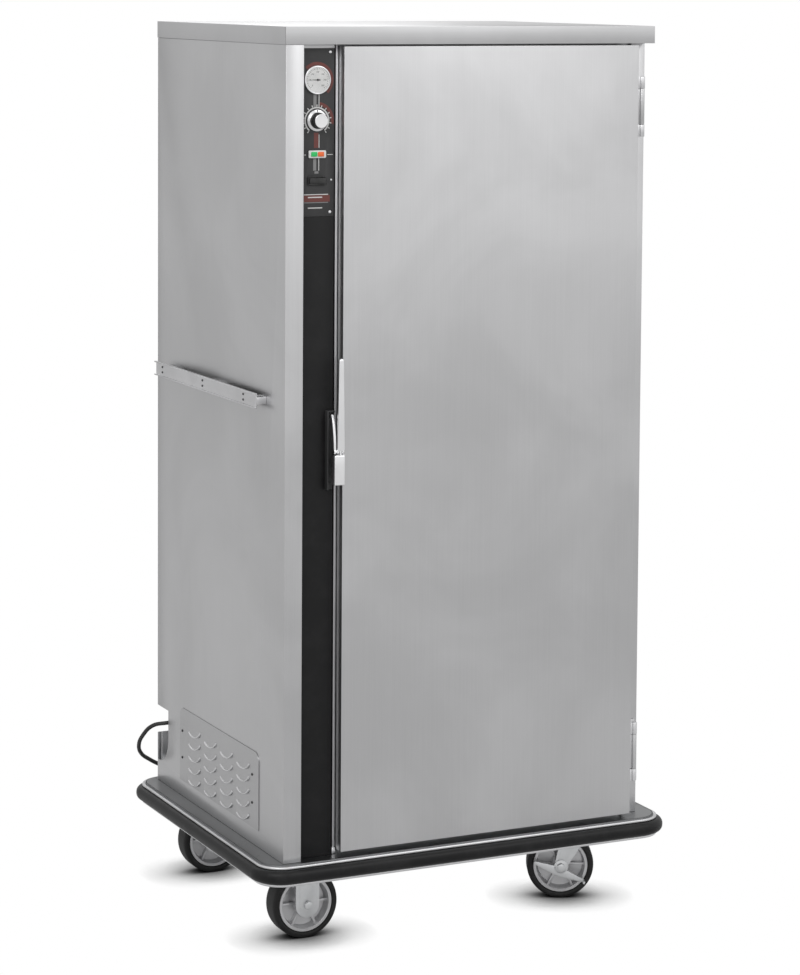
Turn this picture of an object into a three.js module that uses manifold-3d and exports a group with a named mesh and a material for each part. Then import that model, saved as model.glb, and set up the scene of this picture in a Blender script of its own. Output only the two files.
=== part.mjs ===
// Heated banquet cabinet: an insulated steel cabinet with one door, on a bumpered platform with casters.
// Millimetres. X runs to the right and Y to the back, from the front left corner of the body, and Z up from
// the floor. The group is centred on the part's own footprint at the end.
import * as THREE from "three";
import { mergeVertices } from "three/addons/utils/BufferGeometryUtils.js";
import Module from "manifold-3d";

const wasm = await Module();
wasm.setup();

// Shared clearances
const SEAT_GAP = 0.3;
const RUNNING_GAP = 0.5;
const OVERRUN = 3;
const CORNER_STEPS = 6;
const CURVE_STEPS = 6;
const NOSE_STEPS = 3;
const LEG_STEPS = 6;
const HEATER_BEND_STEPS = 4;
const GASKET_STEPS = 3;
const WHEEL_SEGMENTS = 20;
const DIAL_SEGMENTS = 24;
const ROUND_SEGMENTS = 16;
const BARREL_SIDES = 12;
const PIN_SIDES = 10;
const SMALL_SIDES = 8;
const ROD_SIDES = 6;
const GROOVE_SIDES = 5;
const WIRE_SIDES = 4;
const MERGE_TOLERANCE = 1e-3;
const SNAP = 1e-3;
const MERGE_PLANES = 5e-3;

// Driving sizes of the whole cabinet
const body = {
  width: 888,
  depth: 742,
  height: 1742,
  skin: 1.2,
  postWidth: 41,
  postReturn: 22,
  rightPost: 35,
  rightPostFront: 41.5,
};
const cap = {
  height: 38,
  proud: 1,
  sheet: 1.2,
};
const platform = {
  sheet: 3,
  sideOverhang: 37.5,
  frontOverhang: 10,
  rearOverhang: 21,
  cornerRadius: 50,
  skirtDepth: 45.6,
  skirtSheet: 2,
};
const bumper = {
  web: 2,
  lip: 6,
  lipDrop: 2.5,
  reach: 5.7,
  bulge: 14,
  roundShare: 0.45,
};
const chassis = {
  height: 19,
  width: 130,
  inset: 28,
  sheet: 3,
};

// Door opening and door
const jamb = {
  face: 48,
  left: 122,
  rightMargin: 1,
  lap: 34,
  lapBottom: 44,
  sheet: 1.5,
  throat: 26,
};
const door = {
  left: 134,
  rightMargin: 38.5,
  gapTop: 4,
  gapBottom: 10,
  thickness: 39,
  skin: 1.2,
  plugInset: 52,
  plugRise: 5,
};
const gasket = {
  inset: 13,
  width: 16,
  height: 8,
  cornerRadius: 14,
};
const hinge = {
  axisFromDoor: 16,
  axisDepth: 13,
  barrel: 6.5,
  pin: 3,
  knuckle: 27,
  middle: 79,
  leaf: 2,
  leafDepth: 30,
  arm: 5,
  topDrop: 74,
  bottomRise: 81.5,
};
const latch = {
  blockBottom: 808,
  blockHeight: 64,
  blockWidth: 24,
  blockFront: 14,
  flange: 3,
  flangeDepth: 28,
  pinRise: 8,
  pin: 2,
  ear: 5,
  earHeight: 13,
  leverLength: 198,
  leverWide: 17,
  leverNarrow: 11,
  leverThick: 8,
  boss: 5,
  hookRise: 80,
  hookReach: 20,
  hookThick: 5,
  hookWidth: 7,
  hookBow: 10,
};
const strike = {
  width: 17,
  height: 170,
  sheet: 3,
  depth: 15,
  rise: 795,
  inset: 2,
};

// Control chase in the left post
const panel = {
  recess: 24,
  sheet: 3,
  height: 363,
  returnSheet: 1.5,
};
const thermometer = {
  drop: 74.5,
  radius: 30.2,
  depth: 5,
  rim: 3,
  wall: 1.5,
  dial: 1,
  dialRecess: 2.5,
  needle: 19,
  needleTail: 6,
  needleWidth: 1.6,
  hub: 2.5,
  stemLength: 12,
};
const knob = {
  drop: 160,
  skirt: 24.5,
  skirtEdge: 2,
  skirtHeight: 6,
  grip: 15,
  gripHeight: 25,
  gripTaper: 1,
  groove: 1.2,
  grooves: 10,
  shaft: 3,
  shaftLength: 12,
};
const indicator = {
  drop: 231,
  width: 40,
  height: 16,
  depth: 4,
  lensWidth: 14,
  lensHeight: 10,
  lensRise: 2,
  lensPitch: 15.6,
};
const rocker = {
  drop: 287,
  width: 42,
  height: 19,
  rim: 3,
  depth: 4,
  crown: 3,
  tilt: 8,
  body: 14,
  pivot: 1.5,
  heel: 4.5,
  heelDepth: 3,
};

// Left side: louvre plate, rails and the cord notch
const louvre = {
  rearInset: 146,
  width: 463,
  rise: 37,
  height: 170,
  sheet: 1.2,
  cornerRadius: 20,
  windowMargin: 17,
  columns: 4,
  rows: 5,
  firstColumn: 73.3,
  columnPitch: 95.2,
  rowPitch: 28,
  firstRow: 33.5,
  hoodWidth: 74,
  hoodHeight: 19,
  hoodLift: 7,
};
const rail = {
  length: 590,
  rise: 982,
  height: 32,
  standOff: 21,
  web: 3,
  lip: 5,
  lipThick: 2.5,
  bracketWidth: 34,
  bracketHeight: 16,
  bracketSheet: 3,
  endInset: 30,
};
const notch = {
  rise: 48.6,
  height: 129.4,
  depth: 68,
  sheet: 1.2,
  backWidth: 120,
  backRise: 113,
  hem: 10,
  bendShare: 0.43,
  curveShare: 0.12,
};

// Heated cavity
const cavity = {
  sheet: 1.2,
  rearGap: 32,
};
const standard = {
  width: 20,
  depth: 8,
  inset: 70,
  clip: 4,
  clipReach: 10,
};
const shelf = {
  rises: [470, 900, 1330],
  frameWire: 4,
  wire: 2.5,
  wires: 9,
  ribs: 2,
  sideClearance: 2,
  frontClearance: 30,
};
const heater = {
  rod: 4,
  runs: 4,
  rise: 26,
  sideInset: 110,
  frontInset: 110,
  clip: 10,
};
const shield = {
  sheet: 1.5,
  rise: 52,
  inset: 40,
  slotLength: 150,
  slotWidth: 14,
  slotBridge: 20,
  slotRowGap: 90,
};

// Casters
const wheel = {
  radius: 76,
  width: 50,
  rimRadius: 62,
  rimWall: 5,
  rimWidth: 46,
  web: 5,
  hub: 19,
  hubWidth: 54,
  bore: 6.6,
  ribs: 6,
  ribSheet: 6,
  ribWidth: 26,
  crown: 12,
  shoulder: 4,
};
const caster = {
  height: 184,
  plateLength: 104,
  plateWidth: 94,
  plate: 5,
  legGap: 1.5,
  leg: 5,
  rigidLeg: 28,
  axle: 6,
  nut: 10,
  nutHeight: 7,
  swivelLegTop: 34,
  swivelNose: 15,
  trail: 38,
  raceway: 34,
  racewayHeight: 13,
  crown: 5,
  fromSide: 101,
  fromFront: 132,
  fromRear: 85,
  swivelTurn: [-24, 12],
};
const brake = {
  sheet: 4,
  ring: 16,
  reach: 62,
  tip: 3,
  belly: 10,
  drop: 12,
  slope: -21,
  flange: 16,
};

// Cord and its fittings
const cord = {
  diameter: 9.5,
  sides: 8,
  stepLength: 22,
  reach: 1000,
  coilSides: 6,
  coilSteps: 24,
  coilTurns: 3,
  coilInner: 39,
  coilGap: 2,
  coilStart: 12,
  coilEnd: 64,
  coilCentre: [500, 926],
};
const relief = {
  rise: 141,
  fromRear: 37,
  neck: 6,
  radius: 9,
  flange: 13,
  flangeHeight: 4,
  length: 26,
};
const pocket = {
  sheet: 1.5,
  width: 116,
  depth: 76,
  margin: 4,
};
const plug = {
  radius: 14,
  neck: 7,
  length: 44,
  taper: 14,
  blade: 1.6,
  bladeWidth: 6.4,
  bladeLength: 18,
  bladeSpread: 12.7,
  earthPin: 2.4,
  earthDrop: 8,
};

// Colours and finishes
const finish = {
  steel: new THREE.MeshStandardMaterial({ color: 0xb9babb, roughness: 0.35, metalness: 0.9 }),
  innerSteel: new THREE.MeshStandardMaterial({ color: 0xaeb0b2, roughness: 0.4, metalness: 0.9 }),
  platformSteel: new THREE.MeshStandardMaterial({ color: 0x8e9092, roughness: 0.35, metalness: 0.9 }),
  aluminium: new THREE.MeshStandardMaterial({ color: 0xc9cacb, roughness: 0.4, metalness: 0.9 }),
  chrome: new THREE.MeshStandardMaterial({ color: 0xe2e3e4, roughness: 0.12, metalness: 1 }),
  zinc: new THREE.MeshStandardMaterial({ color: 0xb4b6b8, roughness: 0.45, metalness: 0.8 }),
  blackPaint: new THREE.MeshStandardMaterial({ color: 0x242425, roughness: 0.5, metalness: 0.2 }),
  blackPlastic: new THREE.MeshStandardMaterial({ color: 0x161617, roughness: 0.4, metalness: 0 }),
  bumperVinyl: new THREE.MeshStandardMaterial({ color: 0x2c2c2d, roughness: 0.6, metalness: 0 }),
  tyreRubber: new THREE.MeshStandardMaterial({ color: 0x1c1c1d, roughness: 0.7, metalness: 0 }),
  gasketRubber: new THREE.MeshStandardMaterial({ color: 0x4a4a4b, roughness: 0.7, metalness: 0 }),
  white: new THREE.MeshStandardMaterial({ color: 0xf1f1ee, roughness: 0.5, metalness: 0 }),
  green: new THREE.MeshStandardMaterial({ color: 0x2fae57, roughness: 0.25, metalness: 0 }),
  amber: new THREE.MeshStandardMaterial({ color: 0xf2784b, roughness: 0.25, metalness: 0 }),
};

// Heights and faces that several pieces share
const baseTop = caster.height + chassis.height + platform.sheet;
const bodyTop = baseTop + body.height;
const capTop = bodyTop + cap.height;
const doorRight = body.width - door.rightMargin;
const doorBottom = baseTop + door.gapBottom;
const doorTop = bodyTop - door.gapTop;
const openingLeft = door.left + jamb.lap;
const openingRight = doorRight - jamb.lap;
const openingBottom = baseTop + jamb.lapBottom;
const openingTop = doorTop - jamb.lap;
// The cavity's edge stands straight behind the throat of the door frame, which carries it.
const liner = {
  left: openingLeft - jamb.sheet,
  right: openingRight + jamb.sheet,
  front: jamb.face + jamb.throat + SEAT_GAP,
  rear: body.depth - cavity.rearGap,
  bottom: openingBottom - jamb.sheet,
  top: openingTop + jamb.sheet,
};

const cabinetGroup = new THREE.Group();

// Booleans

// Points are snapped to a fine grid, so that faces drawn in one plane by different calls meet exactly.
function solidOf(geometry) {
  const plain = geometry.index ? geometry.toNonIndexed() : geometry.clone();
  const bare = new THREE.BufferGeometry();
  bare.setAttribute("position", plain.getAttribute("position"));
  const merged = mergeVertices(bare, MERGE_TOLERANCE);
  const snapped = merged.attributes.position.array.map((value) => Math.round(value / SNAP) * SNAP);
  return new wasm.Manifold(
    new wasm.Mesh({
      numProp: 3,
      vertProperties: snapped,
      triVerts: new Uint32Array(merged.index.array),
    }),
  );
}

// Faces in one plane are merged, which also takes out the slivers that booleans leave.
function geometryOf(solid) {
  const mesh = solid.asOriginal().simplify(MERGE_PLANES).getMesh();
  const geometry = new THREE.BufferGeometry();
  const positions = Float32Array.from(mesh.vertProperties);
  geometry.setAttribute("position", new THREE.BufferAttribute(positions, mesh.numProp));
  geometry.setIndex(new THREE.BufferAttribute(Uint32Array.from(mesh.triVerts), 1));
  geometry.computeVertexNormals();
  return geometry;
}

function join(...pieces) {
  return geometryOf(pieces.map(solidOf).reduce((whole, piece) => whole.add(piece)));
}

function cut(blank, ...cutters) {
  return geometryOf(cutters.map(solidOf).reduce((rest, cutter) => rest.subtract(cutter), solidOf(blank)));
}

// Basic forms

function box([x0, x1], [y0, y1], [z0, z1]) {
  const block = new THREE.BoxGeometry(x1 - x0, y1 - y0, z1 - z0);
  return block.translate((x0 + x1) / 2, (y0 + y1) / 2, (z0 + z1) / 2);
}

function rectangle([a0, a1], [b0, b1], radius = 0, segments = CORNER_STEPS) {
  const outline = [];
  const corners = [
    [a1 - radius, b1 - radius],
    [a0 + radius, b1 - radius],
    [a0 + radius, b0 + radius],
    [a1 - radius, b0 + radius],
  ];
  const steps = radius > 0 ? segments : 0;
  corners.forEach(([a, b], quarter) => {
    for (let step = 0; step <= steps; step++) {
      const angle = ((quarter + (steps ? step / steps : 0)) * Math.PI) / 2;
      outline.push(new THREE.Vector2(a + radius * Math.cos(angle), b + radius * Math.sin(angle)));
    }
  });
  return new THREE.Shape(outline);
}

function extrude(shape, depth, curveSegments = 8) {
  return new THREE.ExtrudeGeometry(shape, { depth, bevelEnabled: false, curveSegments });
}

// Prisms along each axis: the outline is drawn in XY, in XZ or in YZ.
function prismZ(shape, [z0, z1], curveSegments) {
  return extrude(shape, z1 - z0, curveSegments).translate(0, 0, z0);
}

function prismY(shape, [y0, y1], curveSegments) {
  return extrude(shape, y1 - y0, curveSegments).rotateX(Math.PI / 2).translate(0, y1, 0);
}

function prismX(shape, [x0, x1], curveSegments) {
  const basis = new THREE.Matrix4().makeBasis(
    new THREE.Vector3(0, 1, 0),
    new THREE.Vector3(0, 0, 1),
    new THREE.Vector3(1, 0, 0),
  );
  return extrude(shape, x1 - x0, curveSegments).applyMatrix4(basis).translate(x0, 0, 0);
}

// A revolved solid about Z; its profile holds [radius, z] and closes on itself or on the axis.
function turnedZ(profile, segments) {
  const points = profile.map(([radius, z]) => new THREE.Vector2(radius, z));
  return new THREE.LatheGeometry(points, segments).rotateX(Math.PI / 2);
}

// The same about Y, with profile heights running to the front, which is -Y.
function turnedFront(profile, segments) {
  return turnedZ(profile, segments).rotateX(Math.PI / 2);
}

function rod(radius, start, end, sides) {
  const axis = new THREE.Vector3().subVectors(end, start);
  const cylinder = new THREE.CylinderGeometry(radius, radius, axis.length(), sides);
  const turn = new THREE.Quaternion().setFromUnitVectors(
    new THREE.Vector3(0, 1, 0),
    axis.clone().normalize(),
  );
  const middle = new THREE.Vector3().addVectors(start, end).multiplyScalar(1 / 2);
  return cylinder.applyQuaternion(turn).translate(middle.x, middle.y, middle.z);
}

// A ring whose section follows a rounded rectangle; the section holds [outwards, z].
function ringAround([x0, x1], [y0, y1], radius, section, steps) {
  const corners = [
    [x1 - radius, y1 - radius],
    [x0 + radius, y1 - radius],
    [x0 + radius, y0 + radius],
    [x1 - radius, y0 + radius],
  ];
  const positions = [];
  corners.forEach(([x, y], quarter) => {
    for (let step = 0; step <= steps; step++) {
      const angle = ((quarter + step / steps) * Math.PI) / 2;
      section.forEach(([outwards, z]) => {
        const reach = radius + outwards;
        positions.push(x + reach * Math.cos(angle), y + reach * Math.sin(angle), z);
      });
    }
  });
  return closedSweep(positions, section.length, corners.length * (steps + 1), true);
}

// Faces of a sweep: rows of equal point counts, joined row to row, closed in a ring or with end faces.
function closedSweep(positions, perRow, rows, ring) {
  const index = [];
  const joins = ring ? rows : rows - 1;
  for (let row = 0; row < joins; row++) {
    const next = (row + 1) % rows;
    for (let side = 0; side < perRow; side++) {
      const after = (side + 1) % perRow;
      const a = row * perRow + side;
      const b = row * perRow + after;
      const c = next * perRow + side;
      const d = next * perRow + after;
      index.push(a, c, b, b, c, d);
    }
  }
  if (!ring) {
    const last = (rows - 1) * perRow;
    for (let side = 1; side < perRow - 1; side++) {
      index.push(0, side, side + 1);
      index.push(last, last + side + 1, last + side);
    }
  }
  const geometry = new THREE.BufferGeometry();
  geometry.setAttribute("position", new THREE.BufferAttribute(new Float32Array(positions), 3));
  geometry.setIndex(index);
  geometry.computeVertexNormals();
  return geometry;
}

// A tube along a curve.
function tube(curve, radius, sides, steps) {
  const ring = [];
  for (let side = 0; side < sides; side++) {
    const angle = (2 * Math.PI * side) / sides;
    ring.push(new THREE.Vector2(radius * Math.cos(angle), radius * Math.sin(angle)));
  }
  return new THREE.ExtrudeGeometry(new THREE.Shape(ring), { steps, extrudePath: curve });
}

// A tube through points that lie nearly level, with one ring of faces a point.
function levelTube(points, radius, sides) {
  const positions = [];
  points.forEach((point, place) => {
    const before = points[Math.max(place - 1, 0)];
    const after = points[Math.min(place + 1, points.length - 1)];
    const along = new THREE.Vector3().subVectors(after, before).normalize();
    const across = new THREE.Vector3(along.y, -along.x, 0).normalize();
    const up = new THREE.Vector3().crossVectors(across, along);
    for (let side = 0; side < sides; side++) {
      const angle = (2 * Math.PI * (side + 1 / 2)) / sides;
      const spot = point.clone();
      spot.addScaledVector(across, radius * Math.cos(angle));
      spot.addScaledVector(up, radius * Math.sin(angle));
      positions.push(spot.x, spot.y, spot.z);
    }
  });
  return closedSweep(positions, sides, points.length, false);
}

// Adds a piece drawn in the cabinet's frame to a group that may stand elsewhere.
function add(group, name, geometry, material) {
  const { x, y, z } = group.position;
  const mesh = new THREE.Mesh(geometry.translate(-x, -y, -z), material);
  mesh.name = name;
  group.add(mesh);
}

// Adds a piece drawn in the group's own frame.
function addLocal(group, name, geometry, material) {
  const mesh = new THREE.Mesh(geometry, material);
  mesh.name = name;
  group.add(mesh);
}

// Platform, bumper and chassis

const base = {
  x: [-platform.sideOverhang, body.width + platform.sideOverhang],
  y: [-platform.frontOverhang, body.depth + platform.rearOverhang],
};

function buildPlatform() {
  const top = prismZ(rectangle(base.x, base.y, platform.cornerRadius), [baseTop - platform.sheet, baseTop]);
  const skirt = ringAround(
    base.x,
    base.y,
    platform.cornerRadius,
    [
      [-platform.skirtSheet, baseTop - platform.skirtDepth],
      [0, baseTop - platform.skirtDepth],
      [0, baseTop],
      [-platform.skirtSheet, baseTop],
    ],
    CORNER_STEPS,
  );
  add(cabinetGroup, "base_platform", join(top, skirt), finish.platformSteel);

  const foot = baseTop - platform.skirtDepth;
  const head = baseTop - bumper.lipDrop;
  const webIn = SEAT_GAP;
  const webOut = webIn + bumper.web;
  const lipOut = webOut + bumper.reach;
  const channel = [
    [webIn, foot],
    [lipOut, foot],
    [lipOut, foot + bumper.lip],
    [webOut, foot + bumper.lip],
    [webOut, head - bumper.lip],
    [lipOut, head - bumper.lip],
    [lipOut, head],
    [webIn, head],
  ];
  add(
    cabinetGroup,
    "bumper_channel",
    ringAround(base.x, base.y, platform.cornerRadius, channel, CORNER_STEPS),
    finish.aluminium,
  );

  const low = foot + bumper.lip + SEAT_GAP;
  const high = head - bumper.lip - SEAT_GAP;
  const back = webOut + SEAT_GAP;
  const round = (high - low) * bumper.roundShare;
  const nose = Array.from({ length: NOSE_STEPS + 1 }, (_, step) => {
    const angle = (Math.PI / 2) * (step / NOSE_STEPS);
    return [lipOut + bumper.bulge * Math.sin(angle), round * (1 - Math.cos(angle))];
  });
  const strip = [
    [back, low],
    ...nose.map(([out, up]) => [out, low + up]),
    ...nose.reverse().map(([out, up]) => [out, high - up]),
    [back, high],
  ];
  add(
    cabinetGroup,
    "bumper_strip",
    ringAround(base.x, base.y, platform.cornerRadius, strip, CORNER_STEPS),
    finish.bumperVinyl,
  );
}

// Two pressed channels under the platform carry the caster plates, joined by a spine.
function buildChassis() {
  const z = [caster.height + SEAT_GAP, baseTop - platform.sheet - SEAT_GAP];
  const inside = [z[0] + chassis.sheet, z[1] + OVERRUN];
  const y = [base.y[0] + chassis.inset, base.y[1] - chassis.inset];
  const members = [caster.fromSide, body.width - caster.fromSide].map((x) => [
    x - chassis.width / 2,
    x + chassis.width / 2,
  ]);
  const spineY = [(y[0] + y[1] - chassis.width) / 2, (y[0] + y[1] + chassis.width) / 2];
  const blanks = members.map((x) => box(x, y, z));
  blanks.push(box([members[0][0], members[1][1]], spineY, z));
  const hollows = members.map((x) =>
    box([x[0] + chassis.sheet, x[1] - chassis.sheet], [y[0] + chassis.sheet, y[1] - chassis.sheet], inside),
  );
  hollows.push(
    box(
      [members[0][0] + chassis.sheet, members[1][1] - chassis.sheet],
      [spineY[0] + chassis.sheet, spineY[1] - chassis.sheet],
      inside,
    ),
  );
  add(cabinetGroup, "chassis_frame", cut(join(...blanks), ...hollows), finish.zinc);
}

// Body skins

// The rear lower corner of the left side is cut away for the cord.
function notchOutline() {
  const outline = new THREE.Shape();
  const top = baseTop + notch.rise + notch.height;
  const bottom = baseTop + notch.rise;
  const front = body.depth - notch.depth;
  const bend = bottom + notch.height * notch.bendShare;
  outline.moveTo(body.depth + OVERRUN, top);
  outline.lineTo(front, top);
  outline.lineTo(front, bend);
  outline.quadraticCurveTo(front + notch.depth * notch.curveShare, bottom, body.depth + OVERRUN, bottom);
  outline.closePath();
  return outline;
}

const window = {
  y: [
    body.depth - louvre.rearInset - louvre.width + louvre.windowMargin,
    body.depth - louvre.rearInset - louvre.windowMargin,
  ],
  z: [
    baseTop + louvre.rise + louvre.windowMargin / 2,
    baseTop + louvre.rise + louvre.height - louvre.windowMargin / 2,
  ],
};

function buildBodySkins() {
  const z = [baseTop + SEAT_GAP, bodyTop - SEAT_GAP];
  const through = [-OVERRUN, body.skin + OVERRUN];
  const skin = cut(
    box([0, body.skin], [0, body.depth], z),
    prismX(notchOutline(), through, CURVE_STEPS),
    box(through, window.y, window.z),
  );
  const rearEdge = [body.depth - body.skin, body.depth];
  const notchTop = baseTop + notch.rise + notch.height;
  const left = join(
    skin,
    box([0, body.postWidth], [0, body.skin], z),
    box([body.postWidth - body.skin, body.postWidth], [0, body.postReturn], z),
    box([0, notch.hem], rearEdge, [z[0], baseTop + notch.backRise]),
    box([0, notch.hem], rearEdge, [notchTop + notch.hem, z[1]]),
    box([0, notch.hem], [body.depth - notch.depth, body.depth], [notchTop, notchTop + body.skin]),
  );
  add(cabinetGroup, "left_side_panel", left, finish.steel);

  const postX = body.width - body.rightPost;
  const postY = body.rightPostFront;
  const right = join(
    box([body.width - body.skin, body.width], [postY, body.depth], z),
    box([postX, body.width], [postY, postY + body.skin], z),
    box([postX, postX + body.skin], [postY, jamb.face - SEAT_GAP], z),
    box([body.width - notch.hem, body.width], rearEdge, z),
  );
  add(cabinetGroup, "right_side_panel", right, finish.steel);

  const backX = [notch.hem + SEAT_GAP, body.width - notch.hem - SEAT_GAP];
  const back = box(backX, rearEdge, z);
  const backOpening = box(
    [backX[0] - OVERRUN, notch.backWidth],
    [rearEdge[0] - OVERRUN, rearEdge[1] + OVERRUN],
    [baseTop + notch.backRise, notchTop],
  );
  add(cabinetGroup, "back_panel", cut(back, backOpening), finish.steel);
}

// The top cover is a tray turned over, with a soffit that closes its front overhang.
function buildCap() {
  const x = [-cap.proud, body.width + cap.proud];
  const y = [-cap.proud, body.depth + cap.proud];
  const z = [bodyTop, capTop];
  const shell = cut(
    box(x, y, z),
    box(
      [x[0] + cap.sheet, x[1] - cap.sheet],
      [jamb.face, y[1] - cap.sheet],
      [z[0] - OVERRUN, z[1] - cap.sheet],
    ),
    box(
      [x[0] + cap.sheet, x[1] - cap.sheet],
      [y[0] + cap.sheet, jamb.face + OVERRUN],
      [z[0] + cap.sheet, z[1] - cap.sheet],
    ),
  );
  add(cabinetGroup, "top_cap", shell, finish.steel);
}

// Door frame with its throat
function buildFrontFrame() {
  const x = [jamb.left, body.width - jamb.rightMargin - body.skin];
  const z = [baseTop + SEAT_GAP, bodyTop - SEAT_GAP];
  const face = box(x, [jamb.face, jamb.face + jamb.sheet], z);
  const throat = box(
    [openingLeft - jamb.sheet, openingRight + jamb.sheet],
    [jamb.face, jamb.face + jamb.throat],
    [openingBottom - jamb.sheet, openingTop + jamb.sheet],
  );
  const opening = box(
    [openingLeft, openingRight],
    [jamb.face - OVERRUN, jamb.face + jamb.throat + OVERRUN],
    [openingBottom, openingTop],
  );
  const frame = cut(join(face, throat), opening);
  add(cabinetGroup, "front_frame", frame, finish.innerSteel);
}

// Cavity, shelves and heat

function shelfSeat(rise) {
  return baseTop + rise;
}

function buildCavity() {
  const shell = cut(
    box([liner.left, liner.right], [liner.front, liner.rear], [liner.bottom, liner.top]),
    box(
      [liner.left + cavity.sheet, liner.right - cavity.sheet],
      [liner.front - OVERRUN, liner.rear - cavity.sheet],
      [liner.bottom + cavity.sheet, liner.top - cavity.sheet],
    ),
  );
  const posts = [];
  const wallX = [liner.left + cavity.sheet, liner.right - cavity.sheet];
  const postZ = [liner.bottom + cavity.sheet / 2, liner.top - cavity.sheet / 2];
  for (const side of [0, 1]) {
    const inwards = side ? -1 : 1;
    const root = wallX[side] - (inwards * cavity.sheet) / 2;
    const face = wallX[side] + inwards * standard.depth;
    const tip = face + inwards * standard.clipReach;
    for (const y of [liner.front + standard.inset, liner.rear - standard.inset]) {
      const along = [y - standard.width / 2, y + standard.width / 2];
      posts.push(box([Math.min(root, face), Math.max(root, face)], along, postZ));
      for (const rise of shelf.rises) {
        const seat = shelfSeat(rise) - shelf.frameWire - SEAT_GAP;
        const rootOfClip = face - inwards * cavity.sheet;
        const reach = [Math.min(rootOfClip, tip), Math.max(rootOfClip, tip)];
        posts.push(box(reach, along, [seat - standard.clip, seat]));
      }
    }
  }
  add(cabinetGroup, "cavity_liner", join(shell, ...posts), finish.innerSteel);
}

// A wire shelf: a frame, cross wires that lie on it and ribs under them.
function buildShelf(name, rise) {
  const z = shelfSeat(rise);
  const edge = shelf.frameWire + shelf.sideClearance;
  const x = [
    liner.left + cavity.sheet + standard.depth + edge,
    liner.right - cavity.sheet - standard.depth - edge,
  ];
  const y = [liner.front + shelf.frontClearance, liner.rear - cavity.sheet - shelf.frontClearance];
  const lift = z + shelf.wire;
  const sag = z - shelf.wire - SEAT_GAP;
  const at = (px, py, pz) => new THREE.Vector3(px, py, pz);
  const ends = [y[0] - shelf.frameWire / 2, y[1] + shelf.frameWire / 2];
  const pieces = [
    ...x.map((across) => rod(shelf.frameWire, at(across, ends[0], z), at(across, ends[1], z), WIRE_SIDES)),
    ...y.map((along) => rod(shelf.frameWire, at(x[0], along, z), at(x[1], along, z), WIRE_SIDES)),
  ];
  for (let rib = 1; rib <= shelf.ribs; rib++) {
    const along = y[0] + ((y[1] - y[0]) * rib) / (shelf.ribs + 1);
    pieces.push(rod(shelf.wire, at(x[0], along, sag), at(x[1], along, sag), WIRE_SIDES));
  }
  for (let wire = 1; wire <= shelf.wires; wire++) {
    const across = x[0] + ((x[1] - x[0]) * wire) / (shelf.wires + 1);
    pieces.push(rod(shelf.wire, at(across, y[0], lift), at(across, y[1], lift), WIRE_SIDES));
  }
  add(cabinetGroup, name, join(...pieces), finish.chrome);
}

// The heating rod runs to and fro over the cavity floor, under a slotted shield.
function buildHeat() {
  const floor = liner.bottom + cavity.sheet;
  const z = floor + heater.rise;
  const x = [liner.left + heater.sideInset, liner.right - heater.sideInset];
  const y = [liner.front + heater.frontInset, liner.rear - heater.frontInset];
  const pitch = (x[1] - x[0]) / (heater.runs - 1);
  const path = [];
  for (let run = 0; run < heater.runs; run++) {
    const across = x[0] + run * pitch;
    const [from, to] = run % 2 ? [y[0], y[1]] : [y[1], y[0]];
    path.push(new THREE.Vector3(across, from, z));
    path.push(new THREE.Vector3(across, to, z));
    const outwards = to > from ? 1 : -1;
    for (let step = 1; step < HEATER_BEND_STEPS && run < heater.runs - 1; step++) {
      const angle = (Math.PI * step) / HEATER_BEND_STEPS;
      const reach = (outwards * Math.sin(angle) * pitch) / 2;
      path.push(new THREE.Vector3(across + ((1 - Math.cos(angle)) * pitch) / 2, to + reach, z));
    }
  }
  const clips = [0, heater.runs - 1].flatMap((run) =>
    [y[0], y[1]].map((along) => {
      const across = x[0] + run * pitch;
      return box(
        [across - heater.clip / 2, across + heater.clip / 2],
        [along - heater.clip / 2, along + heater.clip / 2],
        [floor + SEAT_GAP, z],
      );
    }),
  );
  const element = join(levelTube(path, heater.rod, ROD_SIDES), ...clips);
  add(cabinetGroup, "heater_element", element, finish.innerSteel);

  const plateX = [liner.left + cavity.sheet + shield.inset, liner.right - cavity.sheet - shield.inset];
  const plateY = [liner.front + shield.inset, liner.rear - cavity.sheet - shield.inset];
  const top = floor + shield.rise;
  const tray = cut(
    box(plateX, plateY, [floor + SEAT_GAP, top]),
    box(
      [plateX[0] + shield.sheet, plateX[1] - shield.sheet],
      [plateY[0] - OVERRUN, plateY[1] + OVERRUN],
      [floor - OVERRUN, top - shield.sheet],
    ),
  );
  const slots = [];
  const columns = Math.floor((plateX[1] - plateX[0]) / (shield.slotLength + shield.slotBridge));
  const rows = Math.floor((plateY[1] - plateY[0]) / (shield.slotWidth + shield.slotRowGap));
  for (let column = 0; column < columns; column++) {
    const centreX = plateX[0] + ((plateX[1] - plateX[0]) * (column + 1 / 2)) / columns;
    for (let row = 0; row < rows; row++) {
      const along = plateY[0] + ((plateY[1] - plateY[0]) * (row + 1 / 2)) / rows;
      slots.push(
        box(
          [centreX - shield.slotLength / 2, centreX + shield.slotLength / 2],
          [along - shield.slotWidth / 2, along + shield.slotWidth / 2],
          [top - shield.sheet - OVERRUN, top + OVERRUN],
        ),
      );
    }
  }
  add(cabinetGroup, "heat_shield", cut(tray, ...slots), finish.innerSteel);
}

// Control chase

const chase = {
  x: [body.postWidth + SEAT_GAP, jamb.left - SEAT_GAP],
  split: bodyTop - SEAT_GAP - panel.height,
};
const chaseMiddle = (chase.x[0] + chase.x[1]) / 2;
const panelTop = bodyTop - SEAT_GAP;

function chasePlate(z) {
  const plate = box(chase.x, [panel.recess, panel.recess + panel.sheet], z);
  const side = box([chase.x[1] - panel.returnSheet, chase.x[1]], [panel.recess, jamb.face + jamb.sheet], z);
  return join(plate, side);
}

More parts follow.
